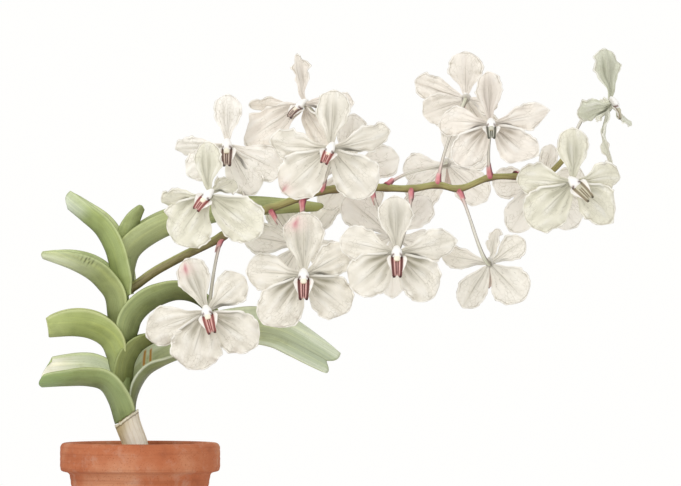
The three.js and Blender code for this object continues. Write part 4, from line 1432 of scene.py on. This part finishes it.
@dataclass(frozen=True)
class FlowerStem:
    """The green flower stem, swollen where each stalk springs, and the pink sleeves at the stalks' feet.

    Its radius is thick at its foot and thin at its end. A sleeve's radius is that of its cuff at its foot, and is
    less by the taper a whole length further on.
    """

    line: tuple[Triple, ...] = (
        (-12, 1, 236), (-2, 1, 243), (12, 1, 253), (34, 0, 265), (66, 0, 281), (90, 0, 298), (112, 1, 306),
        (145, 0, 317), (185, 0, 320), (217, 0, 319), (238, 0, 322), (255, 0, 319), (280, 0, 328), (304, 0, 329),
        (326, 1, 331), (342, 0, 346))
    thick: float = 3.8
    thin: float = 2.2
    knot: float = 0.55
    sleeve: float = 15.0
    cuff: float = 2.7
    taper: float = 1.1
    wall: float = 0.45

    def make(self, green: Material, pink: Material) -> None:
        """Builds the stem and its sleeves in place of the node.

        The stem's radius runs evenly from thick to thin, with a bell curve added at each stalk. Its top has a painted
        highlight and its underside painted shade.

        Args:
            green: the stem's finish.
            pink: the sleeves' finish.
        """
        path = Path.spline(self.line)
        t, turn = np.linspace(0, 1, 240)[:, None], spokes(28)
        points = path.at(t[:, 0])[:, None]
        roots = np.array([bloom.stalk.root for bloom in BLOOMS], float)
        spots = np.argmin(np.linalg.norm(points - roots, axis=2), axis=0) / (len(t) - 1)
        swell = np.minimum(self.knot * bell(t - spots, 0, 0.011).sum(axis=1, keepdims=True), 0.6)
        size = self.thick + (self.thin - self.thick) * t + swell
        size = size * (1 + 0.02 * np.cos(5 * turn + 6 * t) + 0.02 * ripple(turn * 2, t * 60, 1.0))
        rings = path.rings(t[:, 0], size, turn)
        above = unit(rings - points)[..., 2]
        # browner along it, a painted highlight on top, painted shade underneath, and brown knots that are darker
        # underneath, which is painted shade
        tint = layered(
            tone(134, 126, 84),
            (tone(164, 156, 100), smooth(t, 0.15, 0.4)),
            (tone(182, 186, 122), 0.9 * smooth(above, 0.25, 0.9)),
            (tone(92, 78, 44), 0.85 * smooth(-above, 0.3, 0.85)),
            (tone(96, 66, 50), swell * (0.4 + 0.6 * smooth(-above, -0.3, 0.6))))
        skin, sleeves = Skin(), Skin()
        skin.tube(rings, tint, vectors(turn * 3.2, t * path.length, 0.0))
        settle(skin.piece("flower_stem_green", green), "flower_stem", "flower_stem")
        for bloom in BLOOMS:
            self._sleeve(sleeves, bloom.stalk)
        settle(sleeves.piece("stalk_sleeves", pink), "flower_stem", "flower_stem")

    def _sleeve(self, skin: Skin, stalk: Stalk) -> None:
        """Adds a sleeve: a cone along the stalk's way, whose open end is cut on a slant to one long point, with
        painted shade on its right side and a painted highlight on its left.

        Args:
            skin: what it is added to.
            stalk: the stalk that it wraps.
        """
        root, way = np.array(stalk.root, float), unit(np.array(stalk.way))
        u, turn = np.linspace(0, 1, 18)[:, None], spokes(20)
        side = unit(np.cross(way, VIEWER if abs(way @ VIEWER) < 0.9 else UP))
        spoke = side * np.cos(turn)[..., None] + np.cross(way, side) * np.sin(turn)[..., None]
        walk = u * (self.sleeve * (0.62 + 0.38 * (0.5 + 0.5 * np.cos(turn - 0.6)) ** 2))
        radius = self.cuff - self.taper * walk / self.sleeve + 0.7 * bell(u, 0.1, 0.16) - 0.15 * smooth(u, 0.8, 1.0)
        outer = root + way * walk[..., None] + spoke * (radius * (1 + 0.03 * np.cos(9 * turn)))[..., None]
        inner = root + way * (walk * 0.98)[..., None] + spoke * (radius - self.wall)[..., None]
        right = spoke[..., 0]
        # deeper pink at the foot, paler at the end, painted shade on the right and a painted highlight on the left
        tint = layered(
            tone(228, 146, 154),
            (tone(184, 92, 106), smooth(u, 0.4, 0.0)),
            (tone(240, 204, 200), 0.7 * smooth(u, 0.6, 1.0)),
            (tone(106, 44, 60), 0.85 * smooth(right, 0.3, 0.85)),
            (tone(246, 214, 212), 0.5 * smooth(-right, 0.3, 0.8)))
        skin.sock(outer, inner, tint, tint * 0.7, vectors(turn * 2.5, walk, root[0]))


# The leaves and their stem


@dataclass(frozen=True)
class Plane:
    """The slanting plane of the dry sheath's top: z = low + slope * (x + 18)."""

    slope: float = 0.72
    low: float = 130.5

    def above(self, points: Array) -> Array:
        """How far points are above the plane, upright."""
        return points[..., 2] - self.low - self.slope * (points[..., 0] + 18)


@dataclass(frozen=True)
class LeafTint:
    """A leaf's colours, by their screen values of 0 to 255: its outside at its root, middle and tip, its inside, its
    margin, and its inside at the tip."""

    root: Triple
    middle: Triple
    tip: Triple
    inside: Triple
    margin: Triple
    inside_tip: Triple

    def linear(self) -> LeafTint:
        """The same colours in linear light."""
        return LeafTint(*(tone(*colour) for colour in astuple(self)))


@dataclass(frozen=True)
class Mark:
    """A mark on a leaf: its middle and half size along and across, its colour's screen values, and its strips."""

    along: float
    across: float
    long: float
    wide: float
    colour: Triple
    strips: int = 1


@dataclass(frozen=True)
class Leaf:
    """A folded strap leaf, given by its fold's line and by its rank, -1 on the left and 1 on the right.

    Its width, half of it, and its near and far half's leans are given at its root, half way and at its tip, and its
    end by how far the two halves' lobes run on. At its root it has only a share of its width, behind the leaf below,
    and is whole from a share of the way along. Its far half starts at a share of the near half's width. Its outside
    takes on the tip's colour from the share fades along, and its inside the margin's from the share rim across.
    """

    name: str
    rank: int
    half: tuple[float, float, float]
    near: tuple[float, float, float]
    far: tuple[float, float, float]
    end: tuple[float, float]
    keel: tuple[Triple, ...]
    tint: LeafTint
    marks: tuple[Mark, ...] = ()
    root: tuple[float, float] = (1.0, 0.2)
    notch: float = 3.0
    back: float = 1.0
    fades: float = 0.62
    rim: float = 0.88
    torn: bool = False
    thickness: float = 2.0
    bulge: float = 0.1
    soft: float = 0.09
    rows: int = 90
    cols: int = 41
    trimmed: Optional[Plane] = None

    def _surface(self, path: Path, t: Array, s: Array) -> tuple[Array, Array]:
        """The middle of the leaf: two halves that leave the fold at their own leans, each bulging as a half sine.

        The share across is softened at the fold by a hyperbola, so that the fold is round. At its end each half runs
        on by its own lobe, and by a notch between the lobes.

        Args:
            path: the fold's line.
            t: shares along, by row and column.
            s: shares across, from -1 at the near margin to 1 at the far one.

        Returns:
            The points, and the way up from the fold.
        """
        points, along = path.at(t), path.heading(t)
        near = unit(VIEWER - along * (along @ VIEWER)[..., None])
        upright = np.cross(along, near) if self.rank < 0 else np.cross(near, along)
        ramp = np.clip(t * 9 - 8, 0, 1)
        half = through(self.half, t) * (self.root[0] + (1 - self.root[0]) * smooth(t, 0, self.root[1]))
        for sign, angles, lobe in ((-1.0, self.near, self.end[0]), (1.0, self.far, self.end[1])):
            angle = np.radians(through(angles, t))[..., None]
            toward = near * -sign
            reach = upright * np.cos(angle) + toward * np.sin(angle)
            outward = toward * np.cos(angle) - upright * np.sin(angle)
            share = 0.5 * (s * sign + np.sqrt(s * s + self.soft**2))
            share = np.maximum(share - 0.5 * self.soft * (1 - smooth(np.abs(s), 0, 0.3)), 0)
            arch = np.sin(math.pi * np.clip(share, 0, 1))
            wide = half if sign < 0 else half * (self.back + (1 - self.back) * smooth(t, 0.25, 0.6))
            points = (
                points + reach * (share * (1 - 0.07 * ramp**3 * share**2) * wide)[..., None]
                + outward * (arch * self.bulge * wide)[..., None]
                + along * (ramp * (lobe * share + self.notch * arch))[..., None])
        sway = 0.7 * ripple(s * 2.2, t * 7.0, float(self.name)) * smooth(np.abs(s), 0.2, 1.0) * smooth(t, 0.2, 0.5)
        return points + near * sway[..., None], upright

    def make(self, material: Material) -> None:
        """Builds the leaf in place of its node.

        Args:
            material: the leaves' finish.
        """
        path = Path.spline(self.keel)
        s = 0.45 * edgeward(self.cols) + 0.55 * np.linspace(-1, 1, self.cols)
        t = np.linspace(0, 1, self.rows)
        t, s = np.meshgrid(0.35 * np.sin(t * math.pi / 2) + 0.65 * t, s, indexing="ij")
        if self.trimmed is not None:
            first = np.argmax(self.trimmed.above(self._surface(path, t, s)[0]) > 0.5, axis=0)
            start = t[first, np.arange(self.cols)]
            t = start + (1 - start) * t
        middle, upright = self._surface(path, t, s)
        edge = rounded(np.abs(s), 0.93, 0.06) * rounded(t, 0.985, 0.1)
        depth = 0.5 * self.thickness * (1 - 0.35 * t) * edge * (1 + 0.5 * bell(s, 0, 0.08))
        flow = vectors(s * through(self.half, t), t * path.length, 0.0) + float(self.name) * 57
        skin = Skin()
        skin.shell(middle, depth, depth, -upright * bell(s, 0, 0.1)[..., None], *self._tints(t, s),
                   vectors(t, s, float(self.torn)), flow)
        settle(skin.piece(f"strap_leaf_{self.name}", material), "leaf", f"leaf_{self.name}")

    def _tints(self, t: Array, s: Array) -> tuple[Array, Array]:
        """The colours of the leaf's two faces: painted shade toward the fold, darker patches, a painted highlight in a
        band near the margin, a pale margin that is partly its own colour and partly painted highlight, and its marks.
        On the inside the pale margin starts at the share rim and is partly painted light.

        Args:
            t: shares along.
            s: shares across.

        Returns:
            The outside's and the inside's colours.
        """
        c = self.tint.linear()
        near, side = s < 0, np.abs(s)
        # painted shade toward the fold, and darker patches at random
        dim = 0.16 * smooth(side, 0.55, 0.0) + 0.16 * smooth(side, 0.2, 0.0)
        dim = dim + 0.14 * smooth(ripple(s * 3, t * 8, float(self.name) * 3), 0, 0.7)
        ground = layered(c.root, (c.middle, smooth(t, 0.0, 0.4)), (c.tip, smooth(t, self.fades, 1.0)))
        # outside: a painted highlight in a band near the margin, then the pale margin, partly painted highlight
        outside = layered(
            ground * (1 - dim)[..., None],
            (np.array(c.middle) * 1.22, 0.5 * bell(side, 0.78, 0.2) * smooth(t, 0.0, 0.15)),
            (c.margin, 0.75 * smooth(side, 0.88, 0.96)))
        # inside: painted shade toward the fold, the outside's root colour on the near half at the root, and the pale
        # margin from the share rim, partly painted light
        inside = layered(
            blend(c.inside, c.inside_tip, smooth(t, 0.55, 0.95)) * (1 - 0.15 * smooth(side, 0.5, 0.0))[..., None],
            (c.root, 0.9 * smooth(t, 0.19, 0.1) * near),
            (c.margin, 0.75 * smooth(side, self.rim, self.rim + 0.08) * smooth(t, 0.1, 0.19)))
        for mark in self.marks:
            share = bell(t, mark.along, mark.long) * bell(s, mark.across, mark.wide)
            if mark.strips > 1:
                share = share * smooth(np.cos((t - mark.along) / mark.long * math.pi * mark.strips + 5 * s), 0.2, 0.8)
            share, colour = np.clip(1.3 * share, 0, 1), tone(*mark.colour)
            outside, inside = blend(outside, colour, share * near), blend(inside, colour, share * ~near)
        return outside, inside


@dataclass(frozen=True)
class LeafyStem:
    """The stem between the leaves, and the dry sheath that wraps its foot.

    The stem's radii are those at its foot, half way and at its top. The sheath's radius would grow by the flare from
    the stem's foot to its top.
    """

    line: tuple[Triple, ...] = (
        (2, 0, 84), (-3, 0, 112), (-10, 0, 132), (-13, 0, 150), (-14, 0, 175), (-15, 0, 200), (-14, 0, 225),
        (-12, 0, 248), (-10, 0, 264))
    top: Plane = Plane()
    radii: Triple = (8, 6.4, 3)
    sheath: float = 9.6
    flare: float = 2.0
    paper: float = 0.7

    def make(self, green: Material, dry: Material) -> None:
        """Builds the stem and its sheath in place of the node.

        Args:
            green: the stem's finish.
            dry: the sheath's finish.
        """
        path = Path.spline(self.line)
        t, turn = np.linspace(0, 1, 130)[:, None], spokes(48)
        size = through(self.radii, t) * (1 + 0.015 * np.cos(11 * turn)) + 0.35 * bell(np.mod(t * 13, 1), 0.5, 0.12)
        tint = blend(tone(206, 190, 150), tone(138, 152, 98), smooth(t, 0.25, 0.45))
        skin = Skin()
        skin.tube(path.rings(t[:, 0], size, turn), tint, vectors(turn * 7, t * path.length, 0.0))
        settle(skin.piece("stem_core", green), "stem", "leafy_stem")
        self._sheath(path, dry)

    def _wrap(self, path: Path, shares: Array, turn: Array) -> Array:
        """The sheath's rings at these shares of the stem: a little wider upwards."""
        return path.rings(shares, self.sheath + self.flare * shares[:, None], turn)

    def _sheath(self, path: Path, dry: Material) -> None:
        """Builds the sheath: a tube whose rows end on the slanting plane and are frayed, with painted shade under its
        rim and down its right side.

        Args:
            path: the stem's line.
            dry: the sheath's finish.
        """
        turn, fine = spokes(80), np.linspace(0, 0.6, 240)
        past = self.top.above(self._wrap(path, fine, turn)) > 0
        frayed = 0.0018 * np.sin(7 * turn) * np.sin(3 * turn + 1) + 0.001 * np.sin(19 * turn)
        u = 1 - (1 - np.linspace(0, 1, 64)[:, None]) ** 1.6
        t = u * (fine[np.argmax(past, axis=0)] + frayed)
        rings = np.hstack([self._wrap(path, t[:, i], turn[:, i:i + 1]) for i in range(turn.size)])
        spoke = unit(rings - path.at(t))
        right = spoke[..., 0]
        crease = 0.16 * np.cos(17 * turn) + 0.1 * np.cos(29 * turn + 2) + 0.35 * bell(u, 1.0, 0.05)
        # cream, tan on the left, painted shade in a band under the rim, mostly on the left, and down the right side,
        # faint stripes, and a thin dark line under the pale rim
        tint = layered(
            tone(255, 248, 232),
            (tone(226, 210, 172), smooth(-right, 0.1, 0.85)),
            (tone(206, 190, 142), 0.7 * smooth(u, 0.7, 0.95) * smooth(right, 0.7, -0.5)),
            (tone(196, 176, 134), 0.5 * smooth(right, 0.75, 1.0)),
            (tone(186, 160, 112), 0.22 * smooth(np.cos(17 * turn), 0.3, 1.0)),
            (tone(112, 96, 58), 0.8 * bell(u, 0.958, 0.01)),
            (tone(252, 248, 226), 0.9 * smooth(u, 0.965, 0.98)))
        skin = Skin()
        skin.sock(rings + spoke * crease[..., None], rings - spoke * self.paper, tint, tint,
                  vectors(turn * 10, t * path.length, 0.0))
        settle(skin.piece("dry_sheath", dry), "stem", "leafy_stem")


LEAVES = (
    Leaf("01", -1, (19, 26, 21), (24, 52, 60), (24, 4, 4), (-1, -10),
         ((-14, 0, 118), (-19, 0, 132), (-24, 0, 148), (-31, -1, 159), (-42, -3, 162), (-58, -5, 162), (-79, -8, 161)),
         LeafTint((132, 150, 94), (154, 172, 118), (152, 182, 122), (212, 220, 192),
                  (200, 212, 160), (250, 248, 236)),
         root=(0.8, 0.3), back=0.55, trimmed=Plane()),
    Leaf("02", 1, (19, 24, 15), (60, 100, 128), (22, 8, 40), (5, 7),
         ((-5, 1, 141), (-4, 2, 150), (0, 4, 161), (7, 9, 171), (16, 14, 177), (27, 18, 183), (50, 24, 193),
          (74, 28, 200), (92, 29, 203), (108, 29, 201), (122, 28, 195), (134, 27, 189), (149, 26, 181)),
         LeafTint((114, 124, 80), (144, 154, 106), (196, 206, 172), (198, 206, 164),
                  (232, 240, 220), (206, 218, 190)), root=(0.3, 0.12), rim=0.5, torn=True),
    Leaf("03", 1, (15, 17, 8), (28, 32, 30), (24, 20, 20), (2, 2),
         ((-11, -1, 152), (-7, -1, 168), (-5, -1, 180), (1, 0, 190), (12, 1, 197)),
         LeafTint((114, 120, 72), (124, 132, 78), (108, 112, 60), (176, 184, 132),
                  (170, 182, 124), (164, 176, 118)), root=(0.35, 0.35)),
    Leaf("04", -1, (6, 24, 18), (26, 30, 32), (24, 28, 30), (1, 1),
         ((-21, 0, 168), (-25, 0, 183), (-30, 0, 194), (-40, -1, 200), (-52, -2, 202), (-73, -4, 201)),
         LeafTint((172, 182, 130), (164, 176, 110), (190, 202, 138), (196, 204, 148),
                  (204, 212, 156), (214, 220, 166)), notch=-0.5),
    Leaf("05", 1, (18, 20, 6), (30, 38, 55), (24, 38, 50), (2, 2),
         ((-9, 0, 190), (-3, 0, 204), (0, 1, 213), (7, 2, 221), (17, 5, 227), (31, 7, 231), (46, 10, 227),
          (66, 13, 206)),
         LeafTint((114, 124, 74), (150, 162, 110), (78, 76, 36), (196, 204, 164),
                  (186, 198, 146), (160, 166, 112)), root=(0.35, 0.16), fades=0.12),
    Leaf("06", -1, (9, 21, 7), (26, 36, 44), (24, 26, 44), (1, 1),
         ((-24, 0, 204), (-25, 0, 220), (-27, 0, 232), (-32, 0, 239), (-40, -1, 247), (-54, -3, 255), (-78, -6, 264)),
         LeafTint((112, 120, 76), (152, 162, 108), (230, 238, 204), (184, 196, 142),
                  (192, 204, 150), (222, 232, 196)), notch=1.0, fades=0.42,
         marks=(Mark(0.64, -0.8, 0.06, 0.15, (84, 88, 52), strips=4),)),
    Leaf("07", -1, (17, 19, 15), (38, 36, 32), (26, 18, 34), (7, 5),
         ((-17, 0, 232), (-19, 0, 240), (-23, 0, 256), (-27, 0, 270), (-35, 0, 284), (-46, -1, 294), (-58, -2, 304)),
         LeafTint((142, 154, 96), (158, 172, 112), (226, 236, 216), (198, 206, 162),
                  (192, 204, 150), (222, 230, 208)), root=(0.8, 0.15), fades=0.76),
    Leaf("08", 1, (19, 19, 6), (22, 30, 14), (26, 8, 8), (2, 2),
         ((-7, 2, 240), (-5, 4, 257), (-1, 6, 267), (19, 10, 281), (40, 13, 288), (64, 14, 294), (88, 15, 298),
          (112, 15, 300), (143, 14, 302)),
         LeafTint((142, 150, 102), (182, 192, 142), (172, 176, 110), (182, 192, 142),
                  (190, 200, 146), (180, 188, 128)), root=(0.5, 0.16)),
    Leaf("09", 1, (12, 15, 6), (6, 20, 30), (26, 24, 30), (1, 1),
         ((-6, 4, 268), (-4, 4, 281), (-1, 3, 293), (3, 1, 303)),
         LeafTint((100, 112, 70), (158, 170, 114), (146, 156, 104), (178, 190, 138),
                  (184, 196, 140), (164, 178, 122)), root=(0.6, 0.2), notch=1.0),
)


# The pot and its bark


@dataclass(frozen=True)
class Pot:
    """A turned clay pot with a band at its rim, and drain holes round a ring in its floor.

    The rim, foot, hole and ring are given by their radii, and the band by its height and by its lip, which is how far
    it stands out.
    """

    height: float = 116.0
    rim: float = 64.0
    band: float = 24.0
    lip: float = 4.0
    foot: float = 43.0
    wall: float = 6.0
    floor: float = 9.0
    corner: float = 1.6
    holes: int = 4
    hole: float = 4.5
    ring: float = 22.0
    sides: int = 144

    def inside(self, z: float) -> float:
        """The inside radius at a height, which grows evenly from the foot."""
        return self.foot + (self.rim - self.lip - self.foot) * z / self.height - self.wall

    def _profile(self) -> Array:
        """The pot's half section.

        Its corners are cut off, and what is left of them is cut twice more by quarters, which rounds them (Chaikin's
        way). Points are added along the straight stretches.

        Returns:
            Radii and heights, from the middle of the underside round the rim to the middle of the floor.
        """
        shoulder = self.height - self.band
        body = self.inside(shoulder) + self.wall
        line = np.array([
            (0.01, 0), (self.foot - 1.5, 0), (self.foot, 1.5), (body, shoulder), (self.rim - 1.5, shoulder + 1),
            (self.rim, shoulder + 3), (self.rim, self.height - 3), (self.rim - 2, self.height),
            (self.rim - self.lip - 4, self.height), (self.inside(self.height - 4), self.height - 4),
            (self.inside(self.floor), self.floor), (0.01, self.floor)])
        pieces = []
        for a, b in zip(line[:-1], line[1:]):
            span = float(np.linalg.norm(b - a))
            cut = min(0.25, self.corner / span)
            shares = np.concatenate([[cut], np.linspace(cut, 1 - cut, max(2, int(span / 5)))[1:-1], [1 - cut]])
            pieces.append(a + (b - a) * shares[:, None])
        dense = np.vstack([line[:1], *pieces, line[-1:]])
        for _ in range(2):
            quarter = dense[:-1] * 0.75 + dense[1:] * 0.25
            far = dense[:-1] * 0.25 + dense[1:] * 0.75
            dense = np.vstack([dense[:1], np.stack([quarter, far], 1).reshape(-1, 2), dense[-1:]])
        return dense

    def make(self, material: Material) -> None:
        """Builds the pot in place of its node: its half section turned round, a little uneven, and its holes cut.

        Args:
            material: the clay.
        """
        half, turn = self._profile(), spokes(self.sides)
        r, z = half[:, :1], half[:, 1:]
        uneven = 0.25 * ripple(2 * np.cos(turn) + z * 0.03, 2 * np.sin(turn), 2.0) + 0.12 * np.sin(z * 1.3)
        r = r + uneven * smooth(r, 8, 30) * smooth(z, 1.0, 4.0)
        skin, cutters = Skin(), Skin()
        skin.tube(vectors(r * np.cos(turn), r * np.sin(turn), z), 1.0)
        pot = skin.piece("clay_pot", material)
        circle = self.hole * vectors(np.cos(spokes(32)), np.sin(spokes(32)), 0.0)
        depth = np.array([-5.0, 5.0, 15.0])[:, None, None] * UP
        for a in spokes(self.holes)[0] + math.pi / self.holes:
            cutters.tube(circle + depth + self.ring * np.array([math.cos(a), math.sin(a), 0.0]), 1.0)
        cutter = cutters.piece("hole_cutter", material)
        cut = pot.modifiers.new("holes", "BOOLEAN")
        cut.operation, cut.object, cut.solver = "DIFFERENCE", cutter, "EXACT"
        bpy.context.view_layer.update()
        mesh = bpy.data.meshes.new_from_object(pot.evaluated_get(bpy.context.evaluated_depsgraph_get()))
        pot.modifiers.clear()
        pot.data = mesh
        bpy.data.objects.remove(cutter)
        mesh.shade_smooth()
        settle(pot, "clay", "pot")


@dataclass(frozen=True)
class BarkBed:
    """Coarse bark that fills the pot: a bed under a few layers of loose chips.

    The bed reaches from low to top, with a gap to the pot. The chips stay within the room's radius and below the
    peak. Their half sizes lie between the least and the most, and their tips are in radians.
    """

    top: float = 102.0
    low: float = 9.4
    chips: int = 210
    room: float = 50.6
    peak: float = 112.4
    least: Triple = (5, 3.2, 1.4)
    most: Triple = (10, 6, 2.9)
    tip: float = 0.75
    gap: float = 0.8
    seed: int = 7

    def make(self, pot: Pot, material: Material) -> None:
        """Builds the bed and its chips in place of the node.

        Args:
            pot: the pot that they fill.
            material: the bark.
        """
        skin, turn = Skin(), spokes(72)
        wall, flat = np.linspace(self.low, self.top, 12), np.linspace(1, 0.02, 11)[1:]
        z = np.concatenate([wall, np.full_like(flat, self.top)])[:, None]
        share = np.concatenate([np.ones_like(wall), flat])[:, None]
        uneven = np.where(np.arange(len(z)) > len(wall), 1.6, 0.0)[:, None]
        uneven = uneven * ripple(6 * share * np.cos(turn), 6 * share * np.sin(turn), 3)
        edge = (pot.inside(z) - self.gap) * share
        rings = vectors(edge * np.cos(turn), edge * np.sin(turn), z + uneven - 0.5)
        skin.tube(rings, tone(70, 46, 32), rings)
        self._chips(skin)
        settle(skin.piece("bark_chips", material), "bark", "bark_bed")

    def _chips(self, skin: Skin) -> None:
        """Adds the chips: rounded boxes, each point divided by its own fifth-power norm, roughened, bent and turned.

        Args:
            skin: what they are added to.
        """
        random = np.random.default_rng(self.seed)
        a, b = np.linspace(-math.pi / 2, math.pi / 2, 7)[:, None], spokes(8)
        ball = vectors(np.cos(a) * np.cos(b), np.cos(a) * np.sin(b), np.sin(a))
        box = ball / (np.abs(ball) ** 5).sum(-1, keepdims=True) ** (1 / 5)
        for _ in range(self.chips):
            size = random.uniform(self.least, self.most)
            seed = random.uniform(0, 50)
            rough = 1 + 0.22 * ripple(box[..., 0] * 2.5 + seed, box[..., 1] * 2.5 + 2 * box[..., 2], seed)[..., None]
            body = box * size * rough
            body[..., 2] += 0.9 * np.sin(body[..., 0] * 0.35 + seed) * random.uniform(-1, 1)
            pitch, roll = random.uniform(-self.tip, self.tip), random.uniform(-self.tip, self.tip)
            turned = body @ np.array(mathutils.Euler((roll, pitch, random.uniform(0, 6.3))).to_matrix()).T
            spread = float(np.linalg.norm(turned[..., :2], axis=-1).max())
            way, far = random.uniform(0, 6.3), (self.room - spread) * math.sqrt(random.uniform(0, 1))
            level = min(self.top + random.uniform(-1.0, 4.5), self.peak - float(turned[..., 2].max()))
            colour = blend(tone(92, 58, 38), tone(142, 98, 64), random.uniform(0, 1))
            place = np.array([far * math.cos(way), far * math.sin(way), level])
            skin.tube(turned + place, colour, body + seed * 9)


# The studio


@dataclass(frozen=True)
class Lamp:
    """A soft square lamp: where it stands, in metres, how long its side is, its power, and if it casts a shadow."""

    name: str
    place: Triple
    size: float
    watts: float
    shadow: bool = True

    def make(self, aim: Triple) -> None:
        """Makes the lamp.

        Args:
            aim: what it looks at.
        """
        data = bpy.data.lights.new(self.name, "AREA")
        data.energy, data.size, data.use_shadow = self.watts, self.size, self.shadow
        lamp = placed(bpy.data.objects.new(self.name, data))
        lamp.location = self.place
        lamp.rotation_mode = "QUATERNION"
        lamp.rotation_quaternion = (mathutils.Vector(aim) - mathutils.Vector(self.place)).to_track_quat("-Z", "Y")


@dataclass(frozen=True)
class Studio:
    """A pale floor that melts into the light round it, soft lamps, and a long lens at the picture's angle.

    The picture is wide metres across at the plant, and its middle is given by its place across and up. The floor is
    matt up to a first distance from the plant, and has the light's own colour from a second one.
    """

    ground: Triple = (1.0, 0.997, 0.985)
    light: Triple = (1.0, 0.985, 0.955)
    sky: float = 0.74
    matt: Triple = (0.86, 0.85, 0.82)
    melts: tuple[float, float] = (0.5, 1.3)
    radius: float = 30.0
    lens: float = 400.0
    sensor: float = 36.0
    wide: float = 0.5448
    middle: tuple[float, float] = (0.1604, 0.2756)
    aim: Triple = (0.16, 0.0, 0.25)
    lamps: tuple[Lamp, ...] = (
        Lamp("key", (-1.1, -1.5, 1.7), 1.0, 15.0), Lamp("front", (0.3, -2.6, 0.5), 1.6, 9.0, shadow=False),
        Lamp("behind", (0.6, 1.8, 1.0), 1.6, 4.0, shadow=False))

    def make(self) -> None:
        """Makes the world, the floor, the lamps and the camera."""
        scene = bpy.context.scene
        scene.view_settings.view_transform = "Standard"
        scene.view_settings.look = "None"
        self._world(scene)
        self._floor()
        for lamp in self.lamps:
            lamp.make(self.aim)
        data = bpy.data.cameras.new("camera")
        data.lens, data.sensor_width, data.clip_end = self.lens, self.sensor, 2 * self.radius
        scene.camera = placed(bpy.data.objects.new("camera", data))
        scene.camera.location = (self.middle[0], -self.wide * self.lens / self.sensor, self.middle[1])
        scene.camera.rotation_euler = (math.pi / 2, 0, 0)

    def _world(self, scene: bpy.types.Scene) -> None:
        """Makes the even light all round, which the camera sees as the pale ground.

        Args:
            scene: the scene that it lights.
        """
        world = bpy.data.worlds.new("studio")
        world.use_nodes = True
        nodes, links = world.node_tree.nodes, world.node_tree.links
        nodes.clear()
        kinds = ("LightPath", "Background", "Background", "MixShader", "OutputWorld")
        path, seen, light, mix, out = (nodes.new(f"ShaderNode{kind}") for kind in kinds)
        seen.inputs[0].default_value = (*self.ground, 1)
        light.inputs[0].default_value = (*self.light, 1)
        light.inputs[1].default_value = self.sky
        links.new(path.outputs["Is Camera Ray"], mix.inputs[0])
        links.new(light.outputs[0], mix.inputs[1])
        links.new(seen.outputs[0], mix.inputs[2])
        links.new(mix.outputs[0], out.inputs[0])
        scene.world = world

    def _floor(self) -> None:
        """Makes the floor, matt in the middle and the light's own colour further out."""
        board = Board("floor", Roughness=0.9, Specular_IOR_Level=0.1, Base_Color=(*self.matt, 1))
        far = Value(board, board.node("ShaderNodeVectorMath", {"operation": "LENGTH"}, {0: board.place()}).outputs[1])
        glow = board.node("ShaderNodeEmission", {}, {"Color": self.ground}).outputs[0]
        mix = board.node("ShaderNodeMixShader", {}, {0: far.step(*self.melts), 1: board.shader.outputs[0], 2: glow})
        board.feed(board.output.inputs[0], mix.outputs[0])
        turn = spokes(96)[0]
        mesh = bpy.data.meshes.new("floor")
        mesh.from_pydata(self.radius * vectors(np.cos(turn), np.sin(turn), 0.0), [], [range(len(turn))])
        mesh.materials.append(board.material)
        floor = placed(bpy.data.objects.new("floor", mesh))


def main() -> None:
    """Loads the frame and builds every piece in order."""
    logging.basicConfig(level=logging.INFO, format="%(name)s: %(message)s")
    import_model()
    Studio().make()
    petal, lip, leaf = PetalFinish().make(), LipFinish().make(), LeafFinish().make()
    for bloom in BLOOMS:
        bloom.make(petal, lip)
    FlowerStem().make(StalkFinish().make(), StalkFinish("sleeve", (0.75, 0.6, 0.62)).make())
    for strap in LEAVES:
        strap.make(leaf)
    LeafyStem().make(StalkFinish("stem_green").make(), DryFinish().make())
    pot = Pot()
    pot.make(ClayFinish().make())
    BarkBed().make(pot, BarkFinish().make())


if __name__ == "__main__":
    main()
